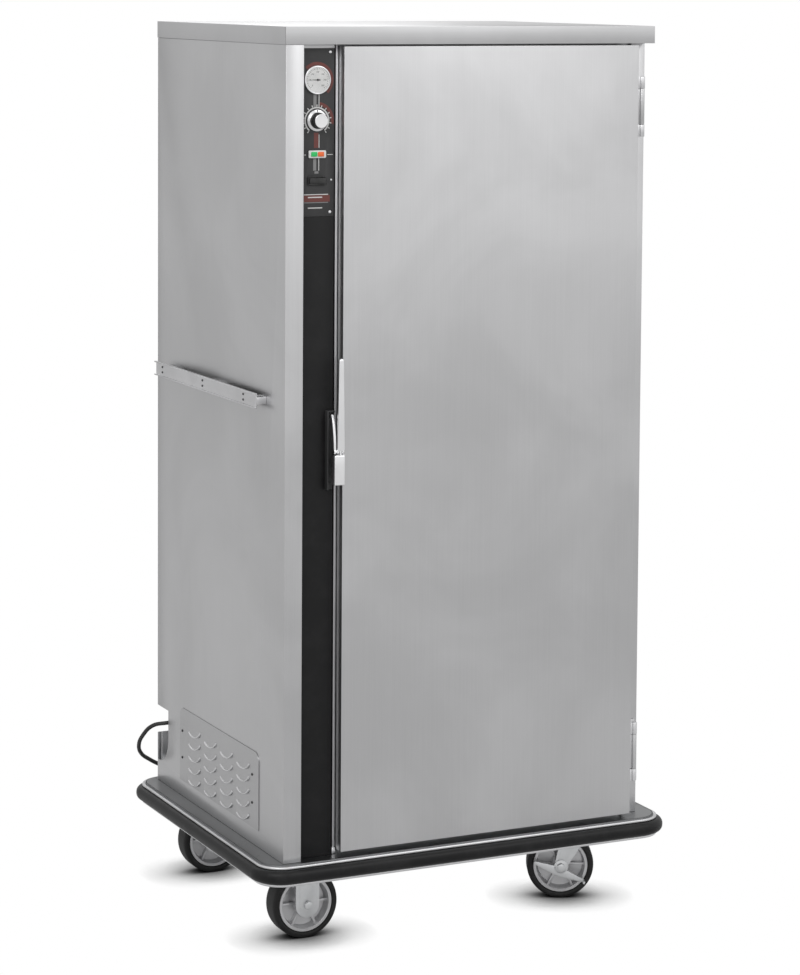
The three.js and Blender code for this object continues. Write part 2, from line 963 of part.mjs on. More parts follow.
function buildControls() {
  const cutY = [panel.recess - OVERRUN, panel.recess + panel.sheet + OVERRUN];
  const lightsZ = panelTop - indicator.drop;
  const switchZ = panelTop - rocker.drop;
  const dialHole = rod(
    thermometer.radius - thermometer.rim,
    new THREE.Vector3(chaseMiddle, cutY[0], panelTop - thermometer.drop),
    new THREE.Vector3(chaseMiddle, cutY[1], panelTop - thermometer.drop),
    DIAL_SEGMENTS,
  );
  const shaftHole = rod(
    knob.shaft + RUNNING_GAP,
    new THREE.Vector3(chaseMiddle, cutY[0], panelTop - knob.drop),
    new THREE.Vector3(chaseMiddle, cutY[1], panelTop - knob.drop),
    PIN_SIDES,
  );
  const lightReach = indicator.width / 2 - indicator.depth;
  const lightHole = box(
    [chaseMiddle - lightReach, chaseMiddle + lightReach],
    cutY,
    [lightsZ - indicator.lensHeight / 2, lightsZ + indicator.lensHeight / 2],
  );
  const switchHole = box(
    [chaseMiddle - rocker.width / 2 + rocker.rim / 2, chaseMiddle + rocker.width / 2 - rocker.rim / 2],
    cutY,
    [switchZ - rocker.height / 2 + rocker.rim / 2, switchZ + rocker.height / 2 - rocker.rim / 2],
  );
  const plate = cut(chasePlate([chase.split, panelTop]), dialHole, shaftHole, lightHole, switchHole);
  add(cabinetGroup, "control_panel", plate, finish.blackPaint);
  add(
    cabinetGroup,
    "chase_trim",
    chasePlate([baseTop + SEAT_GAP, chase.split - SEAT_GAP]),
    finish.blackPaint,
  );
  buildThermometer();
  buildKnob();
  buildIndicator(lightsZ);
  buildRocker(switchZ);
}

function buildThermometer() {
  const group = new THREE.Group();
  group.position.set(chaseMiddle, panel.recess - SEAT_GAP, panelTop - thermometer.drop);
  cabinetGroup.add(group);
  const inner = thermometer.radius - thermometer.rim;
  const seat = thermometer.depth - thermometer.dialRecess;
  const stem = inner - thermometer.wall;
  const shell = turnedFront(
    [
      [0, -thermometer.stemLength],
      [stem, -thermometer.stemLength],
      [stem, 0],
      [thermometer.radius, 0],
      [thermometer.radius, thermometer.depth - thermometer.wall],
      [thermometer.radius - thermometer.wall, thermometer.depth],
      [inner, thermometer.depth],
      [inner, seat - thermometer.dial - SEAT_GAP],
      [0, seat - thermometer.dial - SEAT_GAP],
    ],
    DIAL_SEGMENTS,
  );
  addLocal(group, "thermometer_case", shell, finish.chrome);
  const dialRadius = inner - SEAT_GAP;
  const dial = turnedFront(
    [
      [0, seat - thermometer.dial],
      [dialRadius, seat - thermometer.dial],
      [dialRadius, seat],
      [0, seat],
    ],
    DIAL_SEGMENTS,
  );
  addLocal(group, "thermometer_dial", dial, finish.white);

  const lift = seat + SEAT_GAP;
  const hand = new THREE.Shape();
  hand.moveTo(-thermometer.needle, 0);
  hand.lineTo(0, -thermometer.needleWidth / 2);
  hand.lineTo(thermometer.needleTail, -thermometer.needleWidth);
  hand.lineTo(thermometer.needleTail, thermometer.needleWidth);
  hand.lineTo(0, thermometer.needleWidth / 2);
  hand.closePath();
  const thick = thermometer.dial;
  const needle = join(
    prismY(hand, [-lift - thick, -lift]),
    turnedFront(
      [
        [0, lift],
        [thermometer.hub, lift],
        [thermometer.hub, lift + thick + thick / 2],
        [0, lift + thick + thick / 2],
      ],
      PIN_SIDES,
    ),
  );
  addLocal(group, "thermometer_needle", needle, finish.blackPlastic);
}

function buildKnob() {
  const group = new THREE.Group();
  group.position.set(chaseMiddle, panel.recess, panelTop - knob.drop);
  cabinetGroup.add(group);
  const turned = turnedFront(
    [
      [0, -knob.shaftLength],
      [knob.shaft, -knob.shaftLength],
      [knob.shaft, RUNNING_GAP],
      [knob.skirt, RUNNING_GAP],
      [knob.skirt, RUNNING_GAP + knob.skirtEdge],
      [knob.grip + knob.gripTaper, knob.skirtHeight],
      [knob.grip, knob.gripHeight - knob.skirtEdge / 2],
      [knob.grip - knob.gripTaper, knob.gripHeight],
      [0, knob.gripHeight],
    ],
    DIAL_SEGMENTS,
  );
  const grooves = [];
  for (let groove = 0; groove < knob.grooves; groove++) {
    const angle = (2 * Math.PI * (groove + 1 / 2)) / knob.grooves;
    const reach = knob.grip + knob.groove / 2;
    const x = reach * Math.cos(angle);
    const z = reach * Math.sin(angle);
    grooves.push(
      rod(
        knob.groove,
        new THREE.Vector3(x, -knob.skirtHeight - knob.groove, z),
        new THREE.Vector3(x, -knob.gripHeight - OVERRUN, z),
        GROOVE_SIDES,
      ),
    );
  }
  addLocal(group, "thermostat_knob", cut(turned, ...grooves), finish.aluminium);
}

function buildIndicator(z) {
  const front = panel.recess - SEAT_GAP;
  const x = [chaseMiddle - indicator.width / 2, chaseMiddle + indicator.width / 2];
  const y = [front - indicator.depth, front];
  const housing = box(x, y, [z - indicator.height / 2, z + indicator.height / 2]);
  const places = [chaseMiddle - indicator.lensPitch / 2, chaseMiddle + indicator.lensPitch / 2];
  const lensZ = [z - indicator.lensHeight / 2, z + indicator.lensHeight / 2];
  const windows = places.map((middle) =>
    box(
      [middle - indicator.lensWidth / 2 - SEAT_GAP, middle + indicator.lensWidth / 2 + SEAT_GAP],
      [front - indicator.depth - OVERRUN, front + OVERRUN],
      [lensZ[0] - SEAT_GAP, lensZ[1] + SEAT_GAP],
    ),
  );
  add(cabinetGroup, "indicator_housing", cut(housing, ...windows), finish.chrome);
  const lensY = [front - indicator.depth - indicator.lensRise, front];
  ["green_lens", "amber_lens"].forEach((name, place) => {
    const middle = places[place];
    const lens = box([middle - indicator.lensWidth / 2, middle + indicator.lensWidth / 2], lensY, lensZ);
    add(cabinetGroup, name, lens, place ? finish.amber : finish.green);
  });
}

function buildRocker(z) {
  const front = panel.recess - SEAT_GAP;
  const half = { x: rocker.width / 2, z: rocker.height / 2 };
  const frame = cut(
    box(
      [chaseMiddle - half.x, chaseMiddle + half.x],
      [front - rocker.depth, front],
      [z - half.z, z + half.z],
    ),
    box(
      [chaseMiddle - half.x + rocker.rim, chaseMiddle + half.x - rocker.rim],
      [front - rocker.depth - OVERRUN, front + OVERRUN],
      [z - half.z + rocker.rim, z + half.z - rocker.rim],
    ),
  );
  const pivot = rod(
    rocker.pivot,
    new THREE.Vector3(chaseMiddle, front - rocker.pivot - SEAT_GAP, z - half.z + rocker.rim / 2),
    new THREE.Vector3(chaseMiddle, front - rocker.pivot - SEAT_GAP, z + half.z - rocker.rim / 2),
    SMALL_SIDES,
  );
  add(cabinetGroup, "rocker_frame", join(frame, pivot), finish.blackPlastic);

  // The key is a shallow wedge pair that tips about the pivot, and rests with its left half in.
  const group = new THREE.Group();
  group.position.set(chaseMiddle, front - rocker.pivot - SEAT_GAP, z);
  group.rotation.z = THREE.MathUtils.degToRad(-rocker.tilt);
  cabinetGroup.add(group);
  const reach = half.x - rocker.rim - RUNNING_GAP;
  const rise = half.z - rocker.rim - RUNNING_GAP;
  const tilt = Math.tan(THREE.MathUtils.degToRad(rocker.tilt));
  const key = new THREE.Shape();
  const faceDepth = -rocker.depth - rocker.crown;
  key.moveTo(-reach, faceDepth);
  key.lineTo(0, faceDepth + reach * tilt);
  key.lineTo(reach, faceDepth);
  key.lineTo(reach, -rocker.depth / 2);
  key.lineTo(rocker.heel, rocker.heelDepth);
  key.lineTo(-rocker.heel, rocker.heelDepth);
  key.lineTo(-reach, -rocker.depth / 2);
  key.closePath();
  const bore = rod(
    rocker.pivot + SEAT_GAP,
    new THREE.Vector3(0, 0, -rise - OVERRUN),
    new THREE.Vector3(0, 0, rise + OVERRUN),
    SMALL_SIDES,
  );
  addLocal(group, "rocker_switch", cut(prismZ(key, [-rise, rise]), bore), finish.blackPlastic);
}

// Louvre plate: tongues bend out from a straight line at the top of each half round cut.
function buildLouvres() {
  const x = [-SEAT_GAP - louvre.sheet, -SEAT_GAP];
  const y = [body.depth - louvre.rearInset - louvre.width, body.depth - louvre.rearInset];
  const z = [baseTop + louvre.rise, baseTop + louvre.rise + louvre.height];
  const outline = new THREE.Shape();
  outline.moveTo(y[0], z[0]);
  outline.lineTo(y[1], z[0]);
  outline.lineTo(y[1], z[1] - louvre.cornerRadius);
  outline.absarc(
    y[1] - louvre.cornerRadius,
    z[1] - louvre.cornerRadius,
    louvre.cornerRadius,
    0,
    Math.PI / 2,
    false,
  );
  outline.absarc(
    y[0] + louvre.cornerRadius,
    z[1] - louvre.cornerRadius,
    louvre.cornerRadius,
    Math.PI / 2,
    Math.PI,
    false,
  );
  outline.closePath();
  const plate = prismX(outline, x, CURVE_STEPS);

  const halfMoon = (scale) => {
    const shape = new THREE.Shape();
    for (let step = 0; step <= CURVE_STEPS; step++) {
      const angle = Math.PI + (Math.PI * step) / CURVE_STEPS;
      const along = (louvre.hoodWidth / 2 - scale) * Math.cos(angle);
      const down = (louvre.hoodHeight - scale) * Math.sin(angle);
      if (step) shape.lineTo(along, down);
      else shape.moveTo(along, down);
    }
    shape.closePath();
    return shape;
  };
  const cutters = [];
  const tongues = [];
  const lift = Math.asin(louvre.hoodLift / louvre.hoodHeight);
  for (let column = 0; column < louvre.columns; column++) {
    const along = y[0] + louvre.firstColumn + column * louvre.columnPitch;
    for (let row = 0; row < louvre.rows; row++) {
      const head = z[1] - louvre.firstRow - row * louvre.rowPitch;
      cutters.push(prismX(halfMoon(0), [x[0] - OVERRUN, x[1] + OVERRUN]).translate(0, along, head));
      const tongue = prismX(halfMoon(SEAT_GAP), [0, louvre.sheet]).rotateY(lift);
      tongues.push(tongue.translate(x[0], along, head + louvre.sheet / 2));
    }
  }
  add(cabinetGroup, "louvre_panel", join(cut(plate, ...cutters), ...tongues), finish.steel);
}

// Side push rails: a channel with its lips turned outwards, on three stand-offs.
function buildRail(name, side) {
  const z = [baseTop + rail.rise - rail.height / 2, baseTop + rail.rise + rail.height / 2];
  const middle = (jamb.face + body.depth) / 2;
  const y = [middle - rail.length / 2, middle + rail.length / 2];
  const wall = rail.standOff;
  const web = wall + rail.web;
  const lip = web + rail.lip;
  const section = new THREE.Shape();
  section.moveTo(wall, z[0]);
  section.lineTo(lip, z[0]);
  section.lineTo(lip, z[0] + rail.lipThick);
  section.lineTo(web, z[0] + rail.lipThick);
  section.lineTo(web, z[1] - rail.lipThick);
  section.lineTo(lip, z[1] - rail.lipThick);
  section.lineTo(lip, z[1]);
  section.lineTo(wall, z[1]);
  section.closePath();
  const pieces = [prismY(section, y)];
  const bracketZ = [
    baseTop + rail.rise - rail.bracketHeight / 2,
    baseTop + rail.rise + rail.bracketHeight / 2,
  ];
  for (const along of [y[0] + rail.endInset / 2, middle, y[1] - rail.endInset]) {
    const ends = [along - rail.bracketWidth / 2, along + rail.bracketWidth / 2];
    const bracket = cut(
      box([SEAT_GAP, wall + rail.web / 2], ends, bracketZ),
      box(
        [SEAT_GAP + rail.bracketSheet, wall],
        [ends[0] + rail.bracketSheet, ends[1] - rail.bracketSheet],
        [bracketZ[0] - OVERRUN, bracketZ[1] + OVERRUN],
      ),
    );
    pieces.push(bracket);
  }
  const whole = solidOf(join(...pieces));
  const placed = side < 0 ? whole.scale([-1, 1, 1]) : whole.translate([body.width, 0, 0]);
  add(cabinetGroup, name, geometryOf(placed), finish.aluminium);
}

// Door

const doorGroup = new THREE.Group();
doorGroup.position.set(doorRight + hinge.axisFromDoor, hinge.axisDepth, 0);
cabinetGroup.add(doorGroup);

function buildDoor() {
  const x = [door.left, doorRight];
  const z = [doorBottom, doorTop];
  const rear = door.thickness - door.skin - SEAT_GAP;
  const hollow = [x, z].map(([low, high]) => [low + door.skin, high - door.skin]);
  const shell = cut(box(x, [0, rear], z), box(hollow[0], [door.skin, rear + OVERRUN], hollow[1]));
  add(doorGroup, "door_shell", shell, finish.steel);

  const plugX = [x[0] + door.plugInset, x[1] - door.plugInset];
  const plugZ = [z[0] + door.plugInset, z[1] - door.plugInset];
  const inner = cut(
    join(
      box(x, [door.thickness - door.skin, door.thickness], z),
      box(plugX, [door.thickness - door.skin, door.thickness + door.plugRise], plugZ),
    ),
    box(
      [plugX[0] + door.skin, plugX[1] - door.skin],
      [door.thickness - door.skin - OVERRUN, door.thickness + door.plugRise - door.skin],
      [plugZ[0] + door.skin, plugZ[1] - door.skin],
    ),
  );
  add(doorGroup, "door_liner", inner, finish.innerSteel);

  const seat = door.thickness + SEAT_GAP;
  const tip = jamb.face - SEAT_GAP;
  const bulb = [
    [-gasket.width, seat],
    [0, seat],
    [0, (seat + tip) / 2],
    [-gasket.width / 4, tip],
    [(-3 * gasket.width) / 4, tip],
    [-gasket.width, (seat + tip) / 2],
  ];
  // The ring is drawn flat, in the door's width and height, and then stood up.
  const flat = ringAround(
    [x[0] + gasket.inset, x[1] - gasket.inset],
    [z[0] + gasket.inset, z[1] - gasket.inset],
    gasket.cornerRadius + gasket.width,
    bulb,
    GASKET_STEPS,
  );
  const stand = new THREE.Matrix4().makeBasis(
    new THREE.Vector3(1, 0, 0),
    new THREE.Vector3(0, 0, 1),
    new THREE.Vector3(0, 1, 0),
  );
  add(doorGroup, "door_gasket", geometryOf(solidOf(flat).transform(stand.elements)), finish.gasketRubber);
}

// Lift-off hinges: the middle knuckle and its pin stay on the frame, the outer two go with the door.
function buildHinge(place, zBottom) {
  const axis = { x: doorGroup.position.x, y: doorGroup.position.y };
  const height = 2 * hinge.knuckle + hinge.middle;
  const low = [zBottom, zBottom + hinge.knuckle - RUNNING_GAP];
  const mid = [zBottom + hinge.knuckle, zBottom + hinge.knuckle + hinge.middle];
  const high = [mid[1] + RUNNING_GAP, zBottom + height];
  const upright = (radius, [z0, z1], sides) =>
    rod(radius, new THREE.Vector3(axis.x, axis.y, z0), new THREE.Vector3(axis.x, axis.y, z1), sides);
  const framePlate = body.rightPostFront - SEAT_GAP;
  const frameLeaf = join(
    upright(hinge.barrel - RUNNING_GAP, mid, BARREL_SIDES),
    upright(hinge.pin, [low[0] + hinge.leaf, high[1] - hinge.leaf - RUNNING_GAP], PIN_SIDES),
    box([axis.x - hinge.arm / 2, axis.x + hinge.arm / 2], [axis.y, framePlate], mid),
    box(
      [axis.x - hinge.arm / 2, axis.x + hinge.arm / 2 + hinge.knuckle / 2],
      [framePlate - hinge.leaf, framePlate],
      [zBottom, zBottom + height],
    ),
  );
  add(cabinetGroup, "hinge_frame_leaf_" + place, frameLeaf, finish.steel);

  const seat = doorRight + SEAT_GAP;
  const arms = [low, high].map((z) =>
    box([seat, axis.x], [axis.y - hinge.arm / 2, axis.y + hinge.arm / 2], z),
  );
  const leaf = join(
    box([seat, seat + hinge.leaf], [axis.y - hinge.barrel, axis.y - hinge.barrel + hinge.leafDepth], [
      zBottom,
      zBottom + height,
    ]),
    ...arms,
    upright(hinge.barrel, low, BARREL_SIDES),
    upright(hinge.barrel, high, BARREL_SIDES),
  );
  const bored = cut(
    leaf,
    upright(hinge.pin + SEAT_GAP, [zBottom - OVERRUN, zBottom + height - hinge.leaf], PIN_SIDES),
  );
  add(doorGroup, "hinge_door_leaf_" + place, bored, finish.chrome);
}

// Latch on the door's edge, and its strike on the chase
const latchPin = {
  y: -latch.blockFront + latch.leverThick,
  z: baseTop + latch.blockBottom + latch.blockHeight + latch.pinRise,
};
const latchGroup = new THREE.Group();
latchGroup.position.set(0, latchPin.y - doorGroup.position.y, latchPin.z);
doorGroup.add(latchGroup);

function buildLatch() {
  const right = door.left - SEAT_GAP;
  const left = right - latch.blockWidth;
  const z = [baseTop + latch.blockBottom, baseTop + latch.blockBottom + latch.blockHeight];
  const earX = [right - latch.leverWide / 2 - latch.ear / 2, right - latch.leverWide / 2 + latch.ear / 2];
  const earY = [latchPin.y - latch.boss, latchPin.y + latch.boss];
  const pinX = [left + latch.hookThick / 2, right - RUNNING_GAP];
  const pinAt = (x) => new THREE.Vector3(x, latchPin.y, latchPin.z);
  const blockRear = 0;
  const blockBody = join(
    box([left, right], [-latch.blockFront, blockRear], z),
    box([right - latch.flange, right], [-latch.blockFront / 2, latch.flangeDepth], z),
    box(earX, earY, [z[1] - latch.ear, z[1] + latch.earHeight]),
    rod(latch.pin, pinAt(pinX[0]), pinAt(pinX[1]), SMALL_SIDES),
  );
  add(doorGroup, "latch_body", blockBody, finish.chrome);

  // The lever, in its own frame about the pin
  const leverX = [right - latch.leverWide, right];
  const middle = (leverX[0] + leverX[1]) / 2;
  const grip = new THREE.Shape();
  grip.moveTo(leverX[0], 0);
  grip.lineTo(leverX[1], 0);
  grip.lineTo(middle + latch.leverNarrow / 2, latch.leverLength - latch.leverNarrow / 2);
  grip.absarc(middle, latch.leverLength - latch.leverNarrow / 2, latch.leverNarrow / 2, 0, Math.PI, false);
  grip.closePath();
  const front = -latch.leverThick;
  const hook = new THREE.Shape();
  hook.moveTo(-latch.hookWidth / 2, 0);
  hook.quadraticCurveTo(0, latch.hookRise / 2, latch.hookReach - latch.hookWidth, latch.hookRise);
  hook.lineTo(latch.hookReach, latch.hookRise - latch.hookWidth);
  hook.quadraticCurveTo(latch.hookBow, latch.hookRise / 2, latch.hookWidth / 2, 0);
  hook.closePath();
  const hookX = [left, left + latch.hookThick];
  const lever = join(
    prismY(grip, [front, 0], CURVE_STEPS),
    rod(
      latch.boss,
      new THREE.Vector3(hookX[0], 0, 0),
      new THREE.Vector3(leverX[1] - RUNNING_GAP, 0, 0),
      BARREL_SIDES,
    ),
    prismX(hook, hookX, CURVE_STEPS),
  );
  const shaped = cut(
    lever,
    rod(
      latch.pin + SEAT_GAP,
      new THREE.Vector3(hookX[0] - OVERRUN, 0, 0),
      new THREE.Vector3(right + OVERRUN, 0, 0),
      SMALL_SIDES,
    ),
    box(
      [earX[0] - RUNNING_GAP, earX[1] + RUNNING_GAP],
      [-latch.leverThick - OVERRUN, latch.boss + OVERRUN],
      [-latch.boss - OVERRUN, latch.boss * 2],
    ),
  );
  addLocal(latchGroup, "latch_lever", shaped.translate(-doorGroup.position.x, 0, 0), finish.chrome);
}

function buildStrike() {
  const x = [chase.x[1] - strike.inset - strike.width, chase.x[1] - strike.inset];
  const rear = panel.recess - SEAT_GAP;
  const z = [baseTop + strike.rise, baseTop + strike.rise + strike.height];
  const tray = cut(
    box(x, [rear - strike.depth, rear], z),
    box(
      [x[0] + strike.sheet, x[1] + OVERRUN],
      [rear - strike.depth - OVERRUN, rear - strike.sheet],
      [z[0] - OVERRUN, z[1] - strike.sheet],
    ),
  );
  add(cabinetGroup, "latch_strike", tray, finish.blackPaint);
}

// Casters

const axleZ = wheel.radius;
const legInner = wheel.hubWidth / 2 + caster.legGap;
const legOuter = legInner + caster.leg;

function wheelHub() {
  const half = wheel.rimWidth / 2;
  const web = wheel.web / 2;
  const hubHalf = wheel.hubWidth / 2;
  const rimInner = wheel.rimRadius - wheel.rimWall;
  const section = turnedZ(
    [
      [wheel.bore, -hubHalf],
      [wheel.hub, -hubHalf],
      [wheel.hub, -web],
      [rimInner, -web],
      [rimInner, -half],
      [wheel.rimRadius, -half],
      [wheel.rimRadius, half],
      [rimInner, half],
      [rimInner, web],
      [wheel.hub, web],
      [wheel.hub, hubHalf],
      [wheel.bore, hubHalf],
      [wheel.bore, -hubHalf],
    ],
    WHEEL_SEGMENTS,
  );
  const ribs = [];
  for (let rib = 0; rib < wheel.ribs / 2; rib++) {
    const bar = box(
      [-wheel.rimRadius + wheel.rimWall / 2, wheel.rimRadius - wheel.rimWall / 2],
      [-wheel.ribSheet / 2, wheel.ribSheet / 2],
      [-wheel.ribWidth / 2, wheel.ribWidth / 2],
    );
    ribs.push(bar.rotateZ((2 * Math.PI * rib) / wheel.ribs));
  }
  const ringRibs = cut(
    join(...ribs),
    turnedZ(
      [
        [0, -wheel.hubWidth],
        [wheel.hub - wheel.web / 2, -wheel.hubWidth],
        [wheel.hub - wheel.web / 2, wheel.hubWidth],
        [0, wheel.hubWidth],
      ],
      wheel.ribs,
    ),
  );
  return join(section, ringRibs).rotateX(Math.PI / 2);
}

function wheelTyre() {
  const half = wheel.width / 2;
  const inner = wheel.rimRadius + SEAT_GAP;
  const flat = half - wheel.crown;
  return turnedZ(
    [
      [inner, -half + wheel.shoulder],
      [inner + wheel.shoulder, -half],
      [wheel.radius - wheel.shoulder - wheel.shoulder / 2, -half + wheel.shoulder / 2],
      [wheel.radius - wheel.shoulder / 3, -half + wheel.shoulder * 2],
      [wheel.radius, -flat],
      [wheel.radius, flat],
      [wheel.radius - wheel.shoulder / 3, half - wheel.shoulder * 2],
      [wheel.radius - wheel.shoulder - wheel.shoulder / 2, half - wheel.shoulder / 2],
      [inner + wheel.shoulder, half],
      [inner, half - wheel.shoulder],
      [inner, -half + wheel.shoulder],
    ],
    WHEEL_SEGMENTS,
  ).rotateX(Math.PI / 2);
}

function buildWheel(group, name, x) {
  const wheelGroup = new THREE.Group();
  wheelGroup.position.set(x, 0, axleZ);
  group.add(wheelGroup);
  addLocal(wheelGroup, name + "_hub", wheelHub(), finish.zinc);
  addLocal(wheelGroup, name + "_tyre", wheelTyre(), finish.tyreRubber);
}

function axleWithNuts(x, reach) {
  const at = (y) => new THREE.Vector3(x, y, axleZ);
  return [
    rod(caster.axle, at(-reach), at(reach), BARREL_SIDES),
    rod(caster.nut, at(-reach), at(-reach + caster.nutHeight), ROD_SIDES),
    rod(caster.nut, at(reach - caster.nutHeight), at(reach), ROD_SIDES),
  ];
}

function buildRigidCaster(place, y) {
  const group = new THREE.Group();
  group.position.set(caster.fromSide, y, 0);
  cabinetGroup.add(group);
  const name = "rigid_caster_" + place;
  const plateZ = [caster.height - caster.plate, caster.height];
  const leg = new THREE.Shape();
  leg.moveTo(-caster.rigidLeg, plateZ[0] + caster.plate / 2);
  leg.lineTo(-caster.rigidLeg, axleZ);
  leg.absarc(0, axleZ, caster.rigidLeg, Math.PI, 2 * Math.PI, false);
  leg.lineTo(caster.rigidLeg, plateZ[0] + caster.plate / 2);
  leg.closePath();
  const half = { x: caster.plateLength / 2, y: caster.plateWidth / 2 };
  const fork = join(
    box([-half.x, half.x], [-half.y, half.y], plateZ),
    prismY(leg, [-legOuter, -legInner], LEG_STEPS),
    prismY(leg, [legInner, legOuter], LEG_STEPS),
    ...axleWithNuts(0, legOuter + caster.nutHeight),
  );
  addLocal(group, name + "_fork", fork, finish.zinc);
  buildWheel(group, name, 0);
}

function buildSwivelCaster(place, y, turn) {
  const name = "swivel_caster_" + place;
  const mount = new THREE.Group();
  mount.position.set(body.width - caster.fromSide, y, 0);
  cabinetGroup.add(mount);
  const plateZ = [caster.height - caster.plate, caster.height];
  const crownTop = plateZ[0] - caster.racewayHeight;
  const kingpin = caster.axle;
  const half = { x: caster.plateLength / 2, y: caster.plateWidth / 2 };
  const plate = join(
    box([-half.x, half.x], [-half.y, half.y], plateZ),
    turnedZ(
      [
        [0, crownTop - caster.crown * 2],
        [kingpin, crownTop - caster.crown * 2],
        [kingpin, crownTop + SEAT_GAP],
        [caster.raceway, crownTop + SEAT_GAP],
        [caster.raceway, plateZ[0] + caster.plate / 2],
        [0, plateZ[0] + caster.plate / 2],
      ],
      ROUND_SEGMENTS,
    ),
  );
  addLocal(mount, name + "_plate", plate, finish.zinc);

  const swing = new THREE.Group();
  swing.rotation.z = THREE.MathUtils.degToRad(turn);
  mount.add(swing);
  const crownZ = [crownTop - caster.crown, crownTop];
  const leg = new THREE.Shape();
  leg.moveTo(-caster.swivelLegTop, crownZ[0] + caster.crown / 2);
  leg.lineTo(-caster.trail - caster.swivelNose, axleZ);
  leg.absarc(-caster.trail, axleZ, caster.swivelNose, Math.PI, 2 * Math.PI, false);
  leg.lineTo(caster.swivelLegTop, crownZ[0] + caster.crown / 2);
  leg.closePath();
  const crown = turnedZ(
    [
      [kingpin + RUNNING_GAP, crownZ[0]],
      [caster.raceway, crownZ[0]],
      [caster.raceway, crownZ[1]],
      [kingpin + RUNNING_GAP, crownZ[1]],
      [kingpin + RUNNING_GAP, crownZ[0]],
    ],
    ROUND_SEGMENTS,
  );
  const shoulders = [-1, 1].map((side) =>
    box(
      [-caster.swivelLegTop, caster.swivelLegTop],
      side < 0 ? [-legOuter, -legInner + caster.leg] : [legInner - caster.leg, legOuter],
      crownZ,
    ),
  );
  const reach = legOuter + brake.sheet + 2 * SEAT_GAP + caster.nutHeight;
  const fork = join(
    crown,
    ...shoulders,
    prismY(leg, [-legOuter, -legInner], LEG_STEPS),
    prismY(leg, [legInner, legOuter], LEG_STEPS),
    ...axleWithNuts(-caster.trail, reach),
  );
  addLocal(swing, name + "_fork", fork, finish.zinc);
  buildWheel(swing, name, -caster.trail);
  buildBrake(swing, name);
}

// The brake pedal is a tapered bar across the wheel, hung on the axle outside the front leg.
function buildBrake(swing, name) {
  const group = new THREE.Group();
  group.position.set(-caster.trail, 0, axleZ);
  swing.add(group);
  const bar = new THREE.Shape();
  bar.moveTo(-brake.reach, -brake.drop + brake.tip);
  bar.lineTo(0, -brake.drop + brake.belly);
  bar.lineTo(brake.reach, -brake.drop + brake.tip);
  bar.lineTo(brake.reach, -brake.drop - brake.tip);
  bar.lineTo(0, -brake.drop - brake.belly);
  bar.lineTo(-brake.reach, -brake.drop - brake.tip);
  bar.closePath();
  const outside = -legOuter - SEAT_GAP;
  const y = [outside - brake.sheet, outside];
  const ring = rod(
    brake.ring,
    new THREE.Vector3(0, y[0], 0),
    new THREE.Vector3(0, y[1], 0),
    ROUND_SEGMENTS,
  );
  const toe = box(
    [brake.reach - brake.sheet, brake.reach],
    [y[0] - brake.flange, y[1]],
    [-brake.drop - brake.tip, -brake.drop + brake.tip],
  );
  const bore = rod(
    caster.axle + RUNNING_GAP,
    new THREE.Vector3(0, y[0] - OVERRUN, 0),
    new THREE.Vector3(0, y[1] + OVERRUN, 0),
    BARREL_SIDES,
  );
  const pedal = cut(join(prismY(bar, y), ring, toe), bore);
  addLocal(group, name + "_brake", pedal.rotateY(THREE.MathUtils.degToRad(-brake.slope)), finish.zinc);
}

// Cord, its pocket and its plug

const reliefAt = {
  x: body.skin + SEAT_GAP + pocket.width - pocket.sheet - SEAT_GAP,
  y: body.depth - relief.fromRear,
  z: baseTop + relief.rise,
};
const cordRadius = cord.diameter / 2;
const coilPitch = cord.diameter + cord.coilGap;
const coilOuter = cord.coilInner + cord.coilTurns * coilPitch;
const floorLevel = cordRadius + SEAT_GAP;
const cordStart = reliefAt.x - relief.flangeHeight - relief.length - SEAT_GAP;
const coilEntry = [cord.coilCentre[0] - cord.coilStart, cord.coilCentre[1] - coilOuter, floorLevel];

// The free stretch: out of the notch, once round behind the corner, and down to the coil on the floor.
// Each point is a share of the cord's reach along X, Y and Z.
const routeShares = [
  [0.07, 0.705, 0.347],
  [0.04, 0.7055, 0.347],
  [0.0084, 0.709, 0.3465],
  [-0.017, 0.728, 0.3388],
  [-0.033, 0.752, 0.312],
  [-0.035, 0.774, 0.2832],
  [-0.0228, 0.79, 0.258],
  [0.0019, 0.8005, 0.2385],
  [0.032, 0.807, 0.2205],
  [0.068, 0.809, 0.201],
  [0.107, 0.807, 0.178],
  [0.143, 0.806, 0.15],
  [0.177, 0.806, 0.117],
  [0.209, 0.808, 0.08],
  [0.24, 0.812, 0.045],
  [0.272, 0.818, 0.02],
  [0.312, 0.828, 0.0075],
];
// On the floor it runs on to the coil, each point a share of the way to the coil's first turn.
const floorShares = [
  [0.7295, 0.9803],
  [0.8238, 0.9911],
  [0.9139, 0.9996],
];
const cordRoute = [
  [cordStart, reliefAt.y, reliefAt.z],
  ...routeShares.map((point) => point.map((share) => share * cord.reach)),
  ...floorShares.map(([along, across]) => [along * coilEntry[0], across * coilEntry[1], floorLevel]),
  coilEntry,
];

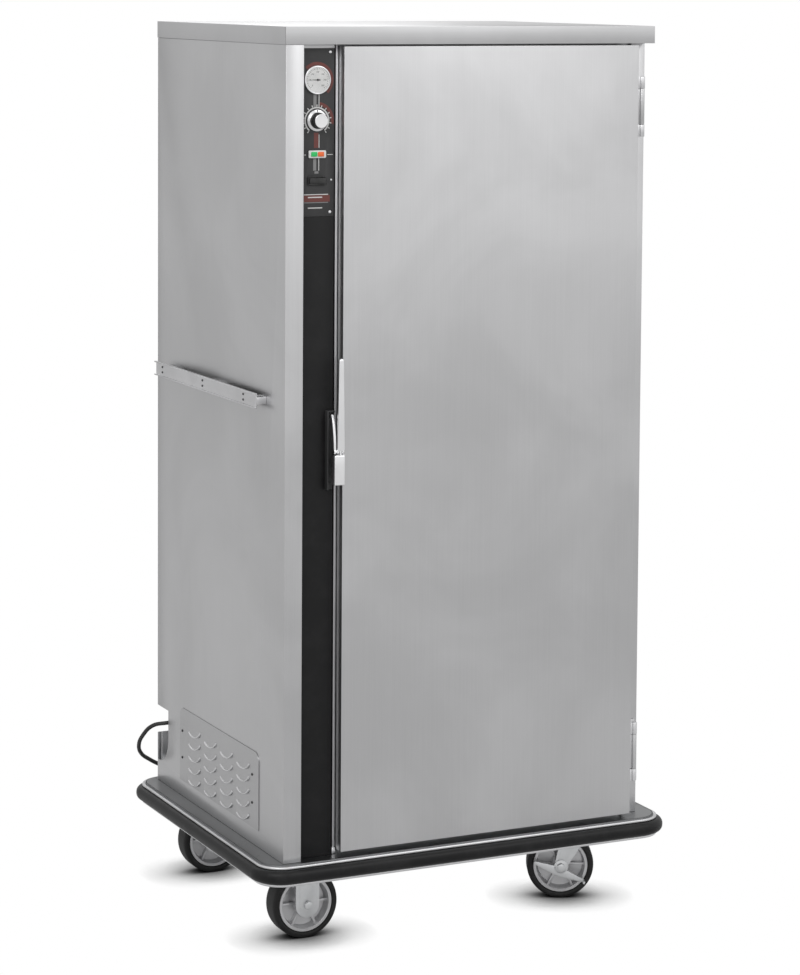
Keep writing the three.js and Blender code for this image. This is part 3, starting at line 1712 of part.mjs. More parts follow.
function buildCordPocket() {
  const x = [body.skin + SEAT_GAP, body.skin + SEAT_GAP + pocket.width];
  const y = [body.depth - pocket.depth, body.depth - body.skin - SEAT_GAP];
  const bottom = baseTop + notch.rise;
  const z = [bottom - pocket.margin, bottom + notch.height + pocket.margin];
  const pan = cut(
    box(x, y, z),
    box(
      [x[0] - OVERRUN, x[1] - pocket.sheet],
      [y[0] + pocket.sheet, y[1] + OVERRUN],
      [z[0] + pocket.sheet, z[1] - pocket.sheet],
    ),
  );
  add(cabinetGroup, "cord_pocket", pan, finish.innerSteel);

  const gland = turnedZ(
    [
      [0, 0],
      [relief.flange, 0],
      [relief.flange, relief.flangeHeight],
      [relief.radius, relief.flangeHeight],
      [relief.neck, relief.flangeHeight + relief.length],
      [0, relief.flangeHeight + relief.length],
    ],
    ROUND_SEGMENTS,
  ).rotateY(-Math.PI / 2);
  add(
    cabinetGroup,
    "strain_relief",
    gland.translate(reliefAt.x, reliefAt.y, reliefAt.z),
    finish.blackPlastic,
  );
}

// The coil spirals in on the floor, climbs a layer in the half turn at its heart, and spirals out on top.
function coilPath() {
  const [x, y] = cord.coilCentre;
  const turnSteps = cord.coilTurns * cord.coilSteps;
  const climbSteps = cord.coilSteps / 2;
  const points = [new THREE.Vector3(...coilEntry)];
  const start = -Math.PI / 2;
  for (let step = 0; step <= 2 * turnSteps + climbSteps; step++) {
    const angle = start + (2 * Math.PI * step) / cord.coilSteps;
    const fromHeart = Math.max(turnSteps - step, step - turnSteps - climbSteps, 0);
    const radius = cord.coilInner + (coilPitch * fromHeart) / cord.coilSteps;
    const climb = THREE.MathUtils.clamp((step - turnSteps) / climbSteps, 0, 1);
    const level = floorLevel + coilPitch * climb;
    points.push(new THREE.Vector3(x + radius * Math.cos(angle), y + radius * Math.sin(angle), level));
  }
  const last = points[points.length - 1];
  points.push(new THREE.Vector3(last.x - cord.coilEnd, last.y, last.z));
  return points;
}

function leastGap(points) {
  const apart = cord.coilSteps / 2;
  let least = Infinity;
  points.forEach((point, place) => {
    points.slice(place + apart).forEach((other) => {
      least = Math.min(least, point.distanceTo(other) - cord.diameter);
    });
  });
  return least;
}

function buildCord() {
  const curve = new THREE.CatmullRomCurve3(cordRoute.map((point) => new THREE.Vector3(...point)));
  const steps = Math.round(curve.getLength() / cord.stepLength);
  add(cabinetGroup, "power_cord", tube(curve, cordRadius, cord.sides, steps), finish.blackPlastic);

  const points = coilPath();
  const coilCurve = points.slice(1).map((point, place) => point.distanceTo(points[place]));
  const coilLength = coilCurve.reduce((sum, length) => sum + length, 0);
  console.log("cord coil's least gap to itself, mm:", leastGap(points).toFixed(2));
  console.log("cord length, mm:", (curve.getLength() + coilLength).toFixed(0));
  const joint = points[0].clone();
  joint.x += SEAT_GAP;
  add(
    cabinetGroup,
    "cord_coil",
    levelTube([joint, ...points.slice(1)], cordRadius, cord.coilSides),
    finish.blackPlastic,
  );
  buildPlug(points[points.length - 1]);
}

function buildPlug(end) {
  const bodySolid = turnedZ(
    [
      [0, 0],
      [plug.neck, 0],
      [plug.radius, plug.taper],
      [plug.radius, plug.length],
      [0, plug.length],
    ],
    ROUND_SEGMENTS,
  );
  const blades = [-1, 1].map((side) =>
    box(
      [(side * plug.bladeSpread) / 2 - plug.blade / 2, (side * plug.bladeSpread) / 2 + plug.blade / 2],
      [-plug.bladeWidth / 2, plug.bladeWidth / 2],
      [plug.length - plug.blade, plug.length + plug.bladeLength],
    ),
  );
  const earth = rod(
    plug.earthPin,
    new THREE.Vector3(0, plug.earthDrop, plug.length - plug.blade),
    new THREE.Vector3(0, plug.earthDrop, plug.length + plug.bladeLength),
    SMALL_SIDES,
  );
  const whole = join(bodySolid, ...blades, earth).rotateY(-Math.PI / 2);
  add(
    cabinetGroup,
    "plug",
    whole.translate(end.x - SEAT_GAP, end.y, end.z),
    finish.blackPlastic,
  );
}

buildPlatform();
buildChassis();
buildBodySkins();
buildCap();
buildFrontFrame();
buildCavity();
shelf.rises.forEach((rise, place) => buildShelf("wire_shelf_" + (place + 1), rise));
buildHeat();
buildControls();
buildLouvres();
buildRail("left_rail", -1);
buildRail("right_rail", 1);
buildDoor();
buildHinge("top", bodyTop - hinge.topDrop - 2 * hinge.knuckle - hinge.middle);
buildHinge("bottom", baseTop + hinge.bottomRise);
buildLatch();
buildStrike();
buildRigidCaster("front", caster.fromFront);
buildRigidCaster("rear", body.depth - caster.fromRear);
buildSwivelCaster("front", caster.fromFront, caster.swivelTurn[0]);
buildSwivelCaster("rear", body.depth - caster.fromRear, caster.swivelTurn[1]);
buildCordPocket();
buildCord();

// The frame's origin is on the floor under the middle of everything but the free cord.
const loose = new Set(["power_cord", "cord_coil", "plug"]);
const footprint = new THREE.Box3();
cabinetGroup.updateMatrixWorld(true);
cabinetGroup.traverse((piece) => {
  if (piece.isMesh && !loose.has(piece.name)) footprint.expandByObject(piece, true);
});
const middle = footprint.getCenter(new THREE.Vector3());
cabinetGroup.position.set(-middle.x, -middle.y, 0);

export default cabinetGroup;
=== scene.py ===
import math

import bmesh
import bpy
from bpy.props import FloatProperty, FloatVectorProperty, IntProperty, PointerProperty
from mathutils import Matrix, Vector


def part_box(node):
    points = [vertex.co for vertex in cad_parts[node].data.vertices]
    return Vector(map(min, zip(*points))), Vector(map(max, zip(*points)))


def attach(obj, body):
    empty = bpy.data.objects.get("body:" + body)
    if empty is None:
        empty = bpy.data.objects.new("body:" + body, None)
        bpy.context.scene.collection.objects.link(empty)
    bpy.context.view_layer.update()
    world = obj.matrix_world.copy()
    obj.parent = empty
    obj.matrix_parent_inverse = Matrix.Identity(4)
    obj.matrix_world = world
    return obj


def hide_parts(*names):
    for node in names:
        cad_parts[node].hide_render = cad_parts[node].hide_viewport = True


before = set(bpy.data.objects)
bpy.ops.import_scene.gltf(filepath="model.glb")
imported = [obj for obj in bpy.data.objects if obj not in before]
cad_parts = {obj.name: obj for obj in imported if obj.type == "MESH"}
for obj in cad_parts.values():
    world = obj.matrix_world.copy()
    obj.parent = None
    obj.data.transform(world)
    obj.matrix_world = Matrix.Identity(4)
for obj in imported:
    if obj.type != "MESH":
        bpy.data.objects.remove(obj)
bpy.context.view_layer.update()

bl_info = {
    "name": "Heated banquet cabinet",
    "version": (1, 0, 0),
    "blender": (4, 5, 0),
    "location": "3D View > Sidebar > Cabinet",
    "description": "Dresses the solid model of a heated banquet cabinet",
    "category": "Add Mesh",
}

MM = 0.001
SIDE_LOW, SIDE_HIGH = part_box("left_side_panel")
CAP_LOW, CAP_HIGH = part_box("top_cap")
DOOR_LOW, DOOR_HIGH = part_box("door_shell")
TYRE_LOW, TYRE_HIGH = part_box("rigid_caster_front_tyre")


def at(x, y, z):
    """A point in millimetres from the body's front left corner and the floor, turned into metres."""
    return Vector((SIDE_LOW.x + x * MM, SIDE_LOW.y + y * MM, z * MM))


def way(x, y, z):
    """A step in millimetres, turned into metres."""
    return Vector((x, y, z)) * MM


# Sizes and colours that a user would change


class SheetLooks(bpy.types.PropertyGroup):
    steel: FloatVectorProperty(
        name="Steel", description="Colour of the outer sheets", subtype="COLOR", default=(0.585, 0.585, 0.592)
    )
    inner_steel: FloatVectorProperty(
        name="Inner steel", description="Colour of the sheets inside", subtype="COLOR",
        default=(0.52, 0.53, 0.54)
    )
    fold: FloatProperty(
        name="Fold", description="Radius of the folded edges", subtype="DISTANCE", unit="LENGTH",
        default=0.0006
    )


class BumperLooks(bpy.types.PropertyGroup):
    corner_steps: IntProperty(
        name="Corner steps", description="Faces round each corner of the platform", default=18, min=4, max=64
    )
    vinyl: FloatVectorProperty(
        name="Vinyl", description="Colour of the bumper strip", subtype="COLOR", default=(
            0.011, 0.011, 0.0115
        )
    )


class ControlLooks(bpy.types.PropertyGroup):
    ticks: IntProperty(name="Ticks", description="Marks round the knob", default=15, min=4, max=60)
    print_height: FloatProperty(
        name="Print height", description="How far the print stands off the panel", unit="LENGTH",
        default=0.0002
    )
    accent: FloatVectorProperty(
        name="Accent", description="Colour of the panel's bands", subtype="COLOR",
        default=(0.155, 0.045, 0.038)
    )


class CasterLooks(bpy.types.PropertyGroup):
    radius: FloatProperty(
        name="Wheel radius",
        description="Radius of the tyres",
        subtype="DISTANCE",
        unit="LENGTH",
        default=(TYRE_HIGH.z - TYRE_LOW.z) / 2,
    )
    steps: IntProperty(name="Wheel steps", description="Faces round each wheel", default=72, min=16, max=160)


class CordLooks(bpy.types.PropertyGroup):
    length: FloatProperty(
        name="Length", description="Real length of the power cord", subtype="DISTANCE", unit="LENGTH",
        default=3.14
    )
    diameter: FloatProperty(
        name="Diameter", description="Diameter of the power cord", subtype="DISTANCE", unit="LENGTH",
        default=0.0095
    )


class StageLooks(bpy.types.PropertyGroup):
    lamp: FloatProperty(name="Lamp", description="Strength of the main lamp", default=90.0, min=0.0)
    room: FloatProperty(
        name="Room", description="Strength of the light from all round", default=0.62, min=0.0
    )
    floor: FloatVectorProperty(
        name="Floor", description="Colour of the floor", subtype="COLOR", default=(0.45, 0.45, 0.45)
    )
    shadow: FloatProperty(
        name="Shadow", description="Reach of the soft shadow under the wheels", unit="LENGTH", default=0.11,
        min=0.0
    )


LOOKS = {
    "sheet": SheetLooks,
    "bumper": BumperLooks,
    "control": ControlLooks,
    "caster": CasterLooks,
    "cord": CordLooks,
    "stage": StageLooks,
}


def looks(group):
    """The settings of one group."""
    return getattr(bpy.context.scene, "cabinet_" + group)


# Shapes


def fresh(bm, before):
    """The points that were made after the set before was taken."""
    return [vert for vert in bm.verts if vert not in before]


def slab(bm, low, high, soft=0.0, steps=2):
    """A box between two corners, with its edges rounded."""
    before = set(bm.verts)
    low, high = Vector(low), Vector(high)
    verts = bmesh.ops.create_cube(bm, size=1.0)["verts"]
    bmesh.ops.scale(bm, vec=high - low, verts=verts)
    bmesh.ops.translate(bm, vec=(low + high) / 2, verts=verts)
    if soft:
        round_edges(bm, verts, soft, steps)
    return fresh(bm, before)


def faces_of(verts):
    """The faces that touch these points."""
    return list({face for vert in verts for face in vert.link_faces})


def round_edges(bm, verts, soft, steps=2, sharp=25):
    """Rounds the sharp edges that belong wholly to these points."""
    chosen = set(verts)
    edges = [
        edge
        for edge in {edge for vert in chosen for edge in vert.link_edges}
        if len(edge.link_faces) == 2 and edge.calc_face_angle(0) > math.radians(sharp)
    ]
    bmesh.ops.bevel(
        bm, geom=edges, offset=soft, segments=steps, profile=0.5, affect="EDGES", material=-1,
        clamp_overlap=True
    )


def bar(bm, start, end, radius, sides=24, tip=None, soft=0.0):
    """A round bar or cone between two points."""
    before = set(bm.verts)
    start, end = Vector(start), Vector(end)
    along = end - start
    place = Matrix.Translation((start + end) / 2) @ along.to_track_quat("Z", "Y").to_matrix().to_4x4()
    verts = bmesh.ops.create_cone(
        bm,
        cap_ends=True,
        segments=sides,
        radius1=radius,
        radius2=radius if tip is None else tip,
        depth=along.length,
        matrix=place,
    )["verts"]
    if soft:
        round_edges(bm, verts, soft, 2, 60 if sides > 8 else 25)
    return fresh(bm, before)


def turned(bm, profile, place, steps=48):
    """A turned form. The profile's points are (radius, height), and it closes on itself or on the axis."""
    before = set(bm.verts)
    chain = [bm.verts.new((radius, 0, height)) for radius, height in profile]
    edges = [bm.edges.new(pair) for pair in zip(chain, chain[1:])]
    if profile[0][0] > 1e-7 and profile[-1][0] > 1e-7:
        edges.append(bm.edges.new((chain[-1], chain[0])))
    bmesh.ops.spin(
        bm,
        geom=chain + edges,
        cent=(0, 0, 0),
        axis=(0, 0, 1),
        angle=2 * math.pi,
        steps=steps,
        use_merge=True,
        use_duplicate=False,
    )
    bmesh.ops.remove_doubles(bm, verts=fresh(bm, before), dist=1e-7)
    verts = fresh(bm, before)
    bmesh.ops.recalc_face_normals(bm, faces=faces_of(verts))
    bmesh.ops.transform(bm, matrix=place, verts=verts)
    return verts


def facing(point, out=(0, -1, 0)):
    """The place of a turned form that stands at a point with its axis along out."""
    return Matrix.Translation(Vector(point)) @ Vector(out).to_track_quat("Z", "Y").to_matrix().to_4x4()


def plate(bm, outline, push, rounds=None, steps=8, soft=0.0):
    """A flat outline of a few points, some corners rounded, pushed out to its thickness."""
    before = set(bm.verts)
    corners = [bm.verts.new(Vector(point)) for point in outline]
    bm.faces.new(corners)
    if rounds:
        for radius in sorted({radius for radius in rounds if radius}):
            chosen = [corner for corner, own in zip(corners, rounds) if own == radius and corner.is_valid]
            bmesh.ops.bevel(
                bm, geom=chosen, offset=radius, segments=steps, profile=0.5, affect="VERTICES", material=-1
            )
    flat = set(fresh(bm, before))
    face = next(face for face in bm.faces if set(face.verts) == flat)
    made = bmesh.ops.extrude_face_region(bm, geom=[face])["geom"]
    bmesh.ops.translate(
        bm, vec=Vector(push), verts=[item for item in made if isinstance(item, bmesh.types.BMVert)]
    )
    verts = fresh(bm, before)
    bmesh.ops.recalc_face_normals(bm, faces=faces_of(verts))
    if soft:
        round_edges(bm, verts, soft, 2, 50)
    return fresh(bm, before)


class Run:
    """Carries a closed section along straight stretches and bends, leaving its wall of faces behind."""

    def __init__(self, bm, section):
        self.bm = bm
        self.before = set(bm.verts)
        ring = [bm.verts.new(Vector(point)) for point in section]
        self.edges = [bm.edges.new((ring[place - 1], ring[place])) for place in range(len(ring))]

    def front(self, made):
        ends = {item for item in made if isinstance(item, bmesh.types.BMVert)}
        self.edges = [
            item for item in made if isinstance(item, bmesh.types.BMEdge) and ends.issuperset(item.verts)
        ]
        return list(ends)

    def go(self, step):
        made = bmesh.ops.extrude_edge_only(self.bm, edges=self.edges)["geom"]
        bmesh.ops.translate(self.bm, vec=Vector(step), verts=self.front(made))
        return self

    def bend(self, centre, axis, angle, steps):
        verts = list({vert for edge in self.edges for vert in edge.verts})
        made = bmesh.ops.spin(
            self.bm,
            geom=verts + self.edges,
            cent=Vector(centre),
            axis=axis,
            angle=angle,
            steps=steps,
            use_merge=False,
            use_duplicate=False,
        )["geom_last"]
        self.front(made)
        return self

    def close(self, ends):
        """Merges a ring's last section into its first, or puts faces on both ends."""
        bmesh.ops.remove_doubles(self.bm, verts=fresh(self.bm, self.before), dist=2e-6)
        verts = fresh(self.bm, self.before)
        if ends:
            edges = {edge for vert in verts for edge in vert.link_edges if len(edge.link_faces) == 1}
            bmesh.ops.holes_fill(self.bm, edges=list(edges), sides=0)
        bmesh.ops.recalc_face_normals(self.bm, faces=faces_of(verts))
        return verts


def round_frame(bm, low, high, radius, section, steps):
    """Carries a section round a rectangle with rounded corners. Its points are (outwards, up)."""
    (x0, y0), (x1, y1) = low, high
    middle = (y0 + y1) / 2
    run = Run(bm, [(x1 + out, middle, up) for out, up in section])
    quarter = math.pi / 2
    run.go((0, y1 - radius - middle, 0)).bend((x1 - radius, y1 - radius, 0), (0, 0, 1), quarter, steps)
    run.go((x0 - x1 + 2 * radius, 0, 0)).bend((x0 + radius, y1 - radius, 0), (0, 0, 1), quarter, steps)
    run.go((0, y0 - y1 + 2 * radius, 0)).bend((x0 + radius, y0 + radius, 0), (0, 0, 1), quarter, steps)
    run.go((x1 - x0 - 2 * radius, 0, 0)).bend((x1 - radius, y0 + radius, 0), (0, 0, 1), quarter, steps)
    run.go((0, middle - y0 - radius, 0))
    return run.close(False)


def screw(bm, point, out, radius, drive=True):
    """A small screw with a domed head and a cross drive."""
    place = facing(point, out)
    verts = turned(
        bm,
        [
            (0, -0.4 * radius), (radius, -0.4 * radius), (radius, 0.15 * radius),
            (0.72 * radius, 0.48 * radius), (0, 0.6 * radius),
        ],
        place,
        14,
    )
    if drive:
        for turn in (0, math.pi / 2):
            cross = slab(
                bm, (-0.6 * radius, -0.1 * radius, 0.3 * radius), (0.6 * radius, 0.1 * radius, 0.66 * radius)
            )
            bmesh.ops.rotate(bm, cent=(0, 0, 0), matrix=Matrix.Rotation(turn + 0.5, 3, "Z"), verts=cross)
            bmesh.ops.transform(bm, matrix=place, verts=cross)
            verts = verts + cross
    return verts


def settle(name, bm, finish, body="cabinet", instead_of=(), sharp=38):
    """Turns a bmesh into a finished piece that rides on a body."""
    mesh = bpy.data.meshes.new(name)
    bm.to_mesh(mesh)
    bm.free()
    mesh.shade_smooth()
    mesh.set_sharp_from_angle(angle=math.radians(sharp))
    piece = bpy.data.objects.new(name, mesh)
    bpy.context.scene.collection.objects.link(piece)
    mesh.materials.append(material(finish))
    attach(piece, body)
    if instead_of:
        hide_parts(*instead_of)
    return piece


def softened(node, finish, body="cabinet", soft=None, steps=2):
    """A sheet piece made from its solid, with its flat faces merged and its edges folded round."""
    bm = bmesh.new()
    bm.from_mesh(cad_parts[node].data)
    bmesh.ops.remove_doubles(bm, verts=bm.verts, dist=1e-6)
    bmesh.ops.dissolve_limit(bm, angle_limit=math.radians(1), verts=bm.verts, edges=bm.edges)
    round_edges(bm, list(bm.verts), looks("sheet").fold if soft is None else soft, steps, 30)
    return settle(node + "_sheet", bm, finish, body, [node], 30)


# Finishes


def socket(group, name, kind, side, default=None):
    made = group.interface.new_socket(name=name, in_out=side, socket_type=kind)
    if default is not None:
        made.default_value = default
    return made


def link(tree, start, end):
    tree.links.new(start, end)


def node_of(tree, kind, **values):
    made = tree.nodes.new(kind)
    for key, value in values.items():
        setattr(made, key, value)
    return made


def grain_group():
    """Fine brush lines drawn out along one direction, with broad uneven patches."""
    name = "Brushed grain"
    if name in bpy.data.node_groups:
        return bpy.data.node_groups[name]
    group = bpy.data.node_groups.new(name, "ShaderNodeTree")
    socket(group, "Vector", "NodeSocketVector", "INPUT")
    socket(group, "Stretch", "NodeSocketVector", "INPUT", (900.0, 900.0, 6.0))
    socket(group, "Patch size", "NodeSocketFloat", "INPUT", 3.0)
    socket(group, "Lines", "NodeSocketFloat", "OUTPUT")
    socket(group, "Patches", "NodeSocketFloat", "OUTPUT")
    enter = node_of(group, "NodeGroupInput")
    leave = node_of(group, "NodeGroupOutput")
    stretch = node_of(group, "ShaderNodeVectorMath", operation="MULTIPLY")
    link(group, enter.outputs["Vector"], stretch.inputs[0])
    link(group, enter.outputs["Stretch"], stretch.inputs[1])
    fine = node_of(group, "ShaderNodeTexNoise")
    fine.inputs["Scale"].default_value = 1.0
    fine.inputs["Detail"].default_value = 3.0
    link(group, stretch.outputs[0], fine.inputs["Vector"])
    patch = node_of(group, "ShaderNodeTexNoise")
    patch.inputs["Detail"].default_value = 4.0
    patch.inputs["Roughness"].default_value = 0.55
    patch.inputs["Distortion"].default_value = 0.6
    link(group, enter.outputs["Vector"], patch.inputs["Vector"])
    link(group, enter.outputs["Patch size"], patch.inputs["Scale"])
    ramp = node_of(group, "ShaderNodeMapRange", interpolation_type="SMOOTHSTEP")
    ramp.inputs["From Min"].default_value = 0.35
    ramp.inputs["From Max"].default_value = 0.68
    link(group, patch.outputs[0], ramp.inputs["Value"])
    link(group, fine.outputs[0], leave.inputs["Lines"])
    link(group, ramp.outputs["Result"], leave.inputs["Patches"])
    return group


def speckle_group():
    """Small uneven spots and dust, as on cast, moulded and painted surfaces."""
    name = "Fine speckle"
    if name in bpy.data.node_groups:
        return bpy.data.node_groups[name]
    group = bpy.data.node_groups.new(name, "ShaderNodeTree")
    socket(group, "Vector", "NodeSocketVector", "INPUT")
    socket(group, "Size", "NodeSocketFloat", "INPUT", 400.0)
    socket(group, "Spots", "NodeSocketFloat", "OUTPUT")
    socket(group, "Dust", "NodeSocketFloat", "OUTPUT")
    enter = node_of(group, "NodeGroupInput")
    leave = node_of(group, "NodeGroupOutput")
    spots = node_of(group, "ShaderNodeTexNoise")
    spots.inputs["Detail"].default_value = 2.0
    link(group, enter.outputs["Vector"], spots.inputs["Vector"])
    link(group, enter.outputs["Size"], spots.inputs["Scale"])
    dust = node_of(group, "ShaderNodeTexNoise")
    dust.inputs["Scale"].default_value = 14.0
    dust.inputs["Detail"].default_value = 7.0
    dust.inputs["Roughness"].default_value = 0.7
    link(group, enter.outputs["Vector"], dust.inputs["Vector"])
    ramp = node_of(group, "ShaderNodeMapRange", interpolation_type="SMOOTHSTEP")
    ramp.inputs["From Min"].default_value = 0.42
    ramp.inputs["From Max"].default_value = 0.72
    link(group, dust.outputs[0], ramp.inputs["Value"])
    link(group, spots.outputs[0], leave.inputs["Spots"])
    link(group, ramp.outputs["Result"], leave.inputs["Dust"])
    return group


def start_material(name, metallic, **sockets):
    made = bpy.data.materials.new(name)
    made.use_nodes = True
    tree = made.node_tree
    shader = next(item for item in tree.nodes if item.type == "BSDF_PRINCIPLED")
    shader.inputs["Metallic"].default_value = metallic
    for key, value in sockets.items():
        shader.inputs[key.replace("_", " ")].default_value = value
    place = node_of(tree, "ShaderNodeTexCoord")
    return made, tree, shader, place.outputs["Object"]


def blend_colours(tree, share, dark, light):
    mix = node_of(tree, "ShaderNodeMix", data_type="RGBA")
    mix.inputs[6].default_value = (*dark, 1)
    mix.inputs[7].default_value = (*light, 1)
    link(tree, share, mix.inputs[0])
    return mix.outputs[2]


def spread(tree, share, low, high):
    scale = node_of(tree, "ShaderNodeMapRange")
    scale.inputs["To Min"].default_value = low
    scale.inputs["To Max"].default_value = high
    link(tree, share, scale.inputs["Value"])
    return scale.outputs["Result"]


def raise_by(tree, shader, height, strength, distance):
    bump = node_of(tree, "ShaderNodeBump")
    bump.inputs["Strength"].default_value = strength
    bump.inputs["Distance"].default_value = distance
    link(tree, height, bump.inputs["Height"])
    link(tree, bump.outputs[0], shader.inputs["Normal"])


def brushed(name, colour, stretch, rough, patch=2.2, contrast=0.10, grain=0.05, metallic=1.0):
    """Brushed sheet: lines along one direction, broad smears of wiped-off handling."""
    made, tree, shader, vector = start_material(name, metallic)
    effect = node_of(tree, "ShaderNodeGroup", node_tree=grain_group())
    effect.inputs["Stretch"].default_value = stretch
    effect.inputs["Patch size"].default_value = patch
    link(tree, vector, effect.inputs["Vector"])
    dark = tuple(channel * (1 - contrast) for channel in colour)
    light = tuple(min(channel * (1 + contrast), 1) for channel in colour)
    share = node_of(tree, "ShaderNodeMath", operation="MULTIPLY_ADD")
    share.inputs[1].default_value = 0.45
    half = node_of(tree, "ShaderNodeMath", operation="MULTIPLY")
    half.inputs[1].default_value = 0.55
    link(tree, effect.outputs["Lines"], share.inputs[0])
    link(tree, effect.outputs["Patches"], half.inputs[0])
    link(tree, half.outputs[0], share.inputs[2])
    link(tree, blend_colours(tree, share.outputs[0], dark, light), shader.inputs["Base Color"])
    link(tree, spread(tree, share.outputs[0], rough - 0.05, rough + 0.06), shader.inputs["Roughness"])
    raise_by(tree, shader, effect.outputs["Lines"], grain, 0.0002)
    return made


def speckled(name, colour, rough, metallic=0.0, size=500.0, dust=0.25, bump=0.1, **sockets):
    """Cast, moulded or painted surfaces, with a little dust on them."""
    made, tree, shader, vector = start_material(name, metallic, **sockets)
    effect = node_of(tree, "ShaderNodeGroup", node_tree=speckle_group())
    effect.inputs["Size"].default_value = size
    link(tree, vector, effect.inputs["Vector"])
    dusty = tuple(
        channel + (0.30 - channel) * dust * 0.35 if channel < 0.3 else channel * (1 - 0.2 * dust)
        for channel in colour
    )
    link(tree, blend_colours(tree, effect.outputs["Dust"], colour, dusty), shader.inputs["Base Color"])
    link(tree, spread(tree, effect.outputs["Dust"], rough - 0.03, rough + 0.1), shader.inputs["Roughness"])
    raise_by(tree, shader, effect.outputs["Spots"], bump, 0.0004)
    return made


def clear(name, colour, rough, weight):
    """Clear or tinted plastic that light passes through."""
    made, tree, shader, vector = start_material(name, 0.0, IOR=1.46, Transmission_Weight=weight)
    effect = node_of(tree, "ShaderNodeGroup", node_tree=speckle_group())
    effect.inputs["Size"].default_value = 900.0
    link(tree, vector, effect.inputs["Vector"])
    deep = tuple(channel * 0.92 for channel in colour)
    link(tree, blend_colours(tree, effect.outputs["Dust"], colour, deep), shader.inputs["Base Color"])
    link(tree, spread(tree, effect.outputs["Dust"], rough, rough + 0.05), shader.inputs["Roughness"])
    return made


UP = (700.0, 700.0, 5.0)
ACROSS = (5.0, 700.0, 700.0)
BACKWARDS = (700.0, 5.0, 700.0)

# Each finish: the record's slot, then the function and values that make its material.
FINISHES = {
    "skin": ("skin_steel", lambda: brushed("Brushed steel upright", tuple(looks("sheet").steel), UP, 0.36)),
    "lid": ("skin_steel", lambda: brushed("Brushed steel across", tuple(looks("sheet").steel), ACROSS, 0.36)),
    "louvre": (
        "skin_steel",
        lambda: brushed("Louvre sheet", tuple(channel * 0.9 for channel in looks("sheet").steel), UP, 0.38),
    ),
    # A lighter copy of the steel: a painted highlight on the louvre rims and on the moving hinge leaves.
    "rim": ("skin_steel", lambda: brushed("Lighter steel painted highlight", (0.72, 0.72, 0.73), UP, 0.36)),
    "inner": (
        "inner_steel", lambda: brushed("Inner steel", tuple(looks("sheet").inner_steel), UP, 0.30, 4.0)
    ),
    # The platform's steel is darkened far below the other sheets: painted shade, standing for the dark
    # reflection of the recess and body above it.
    "deck": ("platform_steel", lambda: brushed("Platform steel with painted shade", (0.26, 0.265, 0.27), ACROSS, 0.30, 5.0)),
    "extruded": ("aluminium", lambda: brushed("Extruded aluminium", (0.66, 0.66, 0.67), ACROSS, 0.33, 6.0)),
    "knob": (
        "aluminium", lambda: brushed("Spun aluminium", (0.72, 0.72, 0.73), (300.0, 300.0, 300.0), 0.22, 20.0)
    ),
    "chrome": ("chrome", lambda: brushed("Polished chrome", (0.80, 0.80, 0.81), UP, 0.12, 8.0, 0.03, 0.01)),
    "plated": ("chrome", lambda: brushed("Bright plate", (0.92, 0.92, 0.93), UP, 0.30, 8.0, 0.03, 0.02)),
    "wire": ("chrome", lambda: brushed("Plated wire", (0.70, 0.70, 0.71), BACKWARDS, 0.2, 8.0, 0.05, 0.02)),
    "zinc": ("zinc", lambda: speckled("Zinc plate", (0.70, 0.71, 0.72), 0.34, 0.85, 260.0, 0.4, 0.10)),
    "hub": ("hub_metal", lambda: speckled("Silver hub", (0.66, 0.66, 0.67), 0.40, 0.6, 320.0, 0.4, 0.12)),
    "black_sheet": (
        "black_paint",
        lambda: speckled(
            "Black sheet", (0.010, 0.010, 0.0105), 0.45, 0.0, 900.0, 0.06, 0.05, Specular_IOR_Level=0.22
        ),
    ),
    "overlay": (
        "black_paint", lambda: speckled("Panel overlay", (0.034, 0.034, 0.035), 0.5, 0.0, 1500.0, 0.15, 0.05)
    ),
    "print_white": (
        "dial_white", lambda: speckled("White print", (0.72, 0.72, 0.71), 0.5, 0.0, 1200.0, 0.15, 0.02)
    ),
    "print_grey": (
        "dial_white", lambda: speckled("Grey print", (0.26, 0.26, 0.26), 0.5, 0.0, 1200.0, 0.15, 0.02)
    ),
    "print_accent": (
        "lens_amber",
        lambda: speckled("Accent print", tuple(looks("control").accent), 0.5, 0.0, 1200.0, 0.1, 0.02),
    ),
    "print_black": (
        "black_plastic", lambda: speckled("Black print", (0.02, 0.02, 0.02), 0.5, 0.0, 1200.0, 0.1, 0.02)
    ),
    "dial": ("dial_white", lambda: speckled("Dial face", (0.92, 0.92, 0.91), 0.4, 0.0, 600.0, 0.1, 0.02)),
    "plastic": (
        "black_plastic",
        lambda: speckled("Black plastic", (0.014, 0.014, 0.014), 0.34, 0.0, 1400.0, 0.2, 0.08),
    ),
    "sheath": (
        "cord_sheath", lambda: speckled("Cord sheath", (0.012, 0.012, 0.012), 0.42, 0.0, 1100.0, 0.2, 0.08)
    ),
    "vinyl": (
        "bumper_vinyl",
        lambda: speckled(
            "Bumper vinyl", tuple(looks("bumper").vinyl), 0.40, 0.0, 700.0, 0.1, 0.08, Specular_IOR_Level=0.2
        ),
    ),
    "seal": ("gasket_rubber", lambda: speckled("Door seal", (0.06, 0.06, 0.062), 0.55, 0.0, 700.0, 0.3, 0.1)),
    "tyre": (
        "tyre",
        lambda: speckled(
            "Tyre rubber", (0.012, 0.012, 0.012), 0.55, 0.0, 420.0, 0.3, 0.2, Specular_IOR_Level=0.3
        ),
    ),
    "green": ("lens_green", lambda: clear("Green lens", (0.04, 0.62, 0.16), 0.12, 0.0)),
    "amber": ("lens_amber", lambda: clear("Amber lens", (0.95, 0.18, 0.05), 0.12, 0.0)),
    "cover": ("chrome", lambda: clear("Dial cover", (0.98, 0.98, 0.98), 0.03, 1.0)),
    "bezel": ("dial_white", lambda: speckled("White bezel", (0.84, 0.84, 0.83), 0.35, 0.0, 900.0, 0.1, 0.02)),
}
MADE = {}


def material(finish):
    if finish not in MADE:
        MADE[finish] = FINISHES[finish][1]()
    return MADE[finish]


# Stage and camera


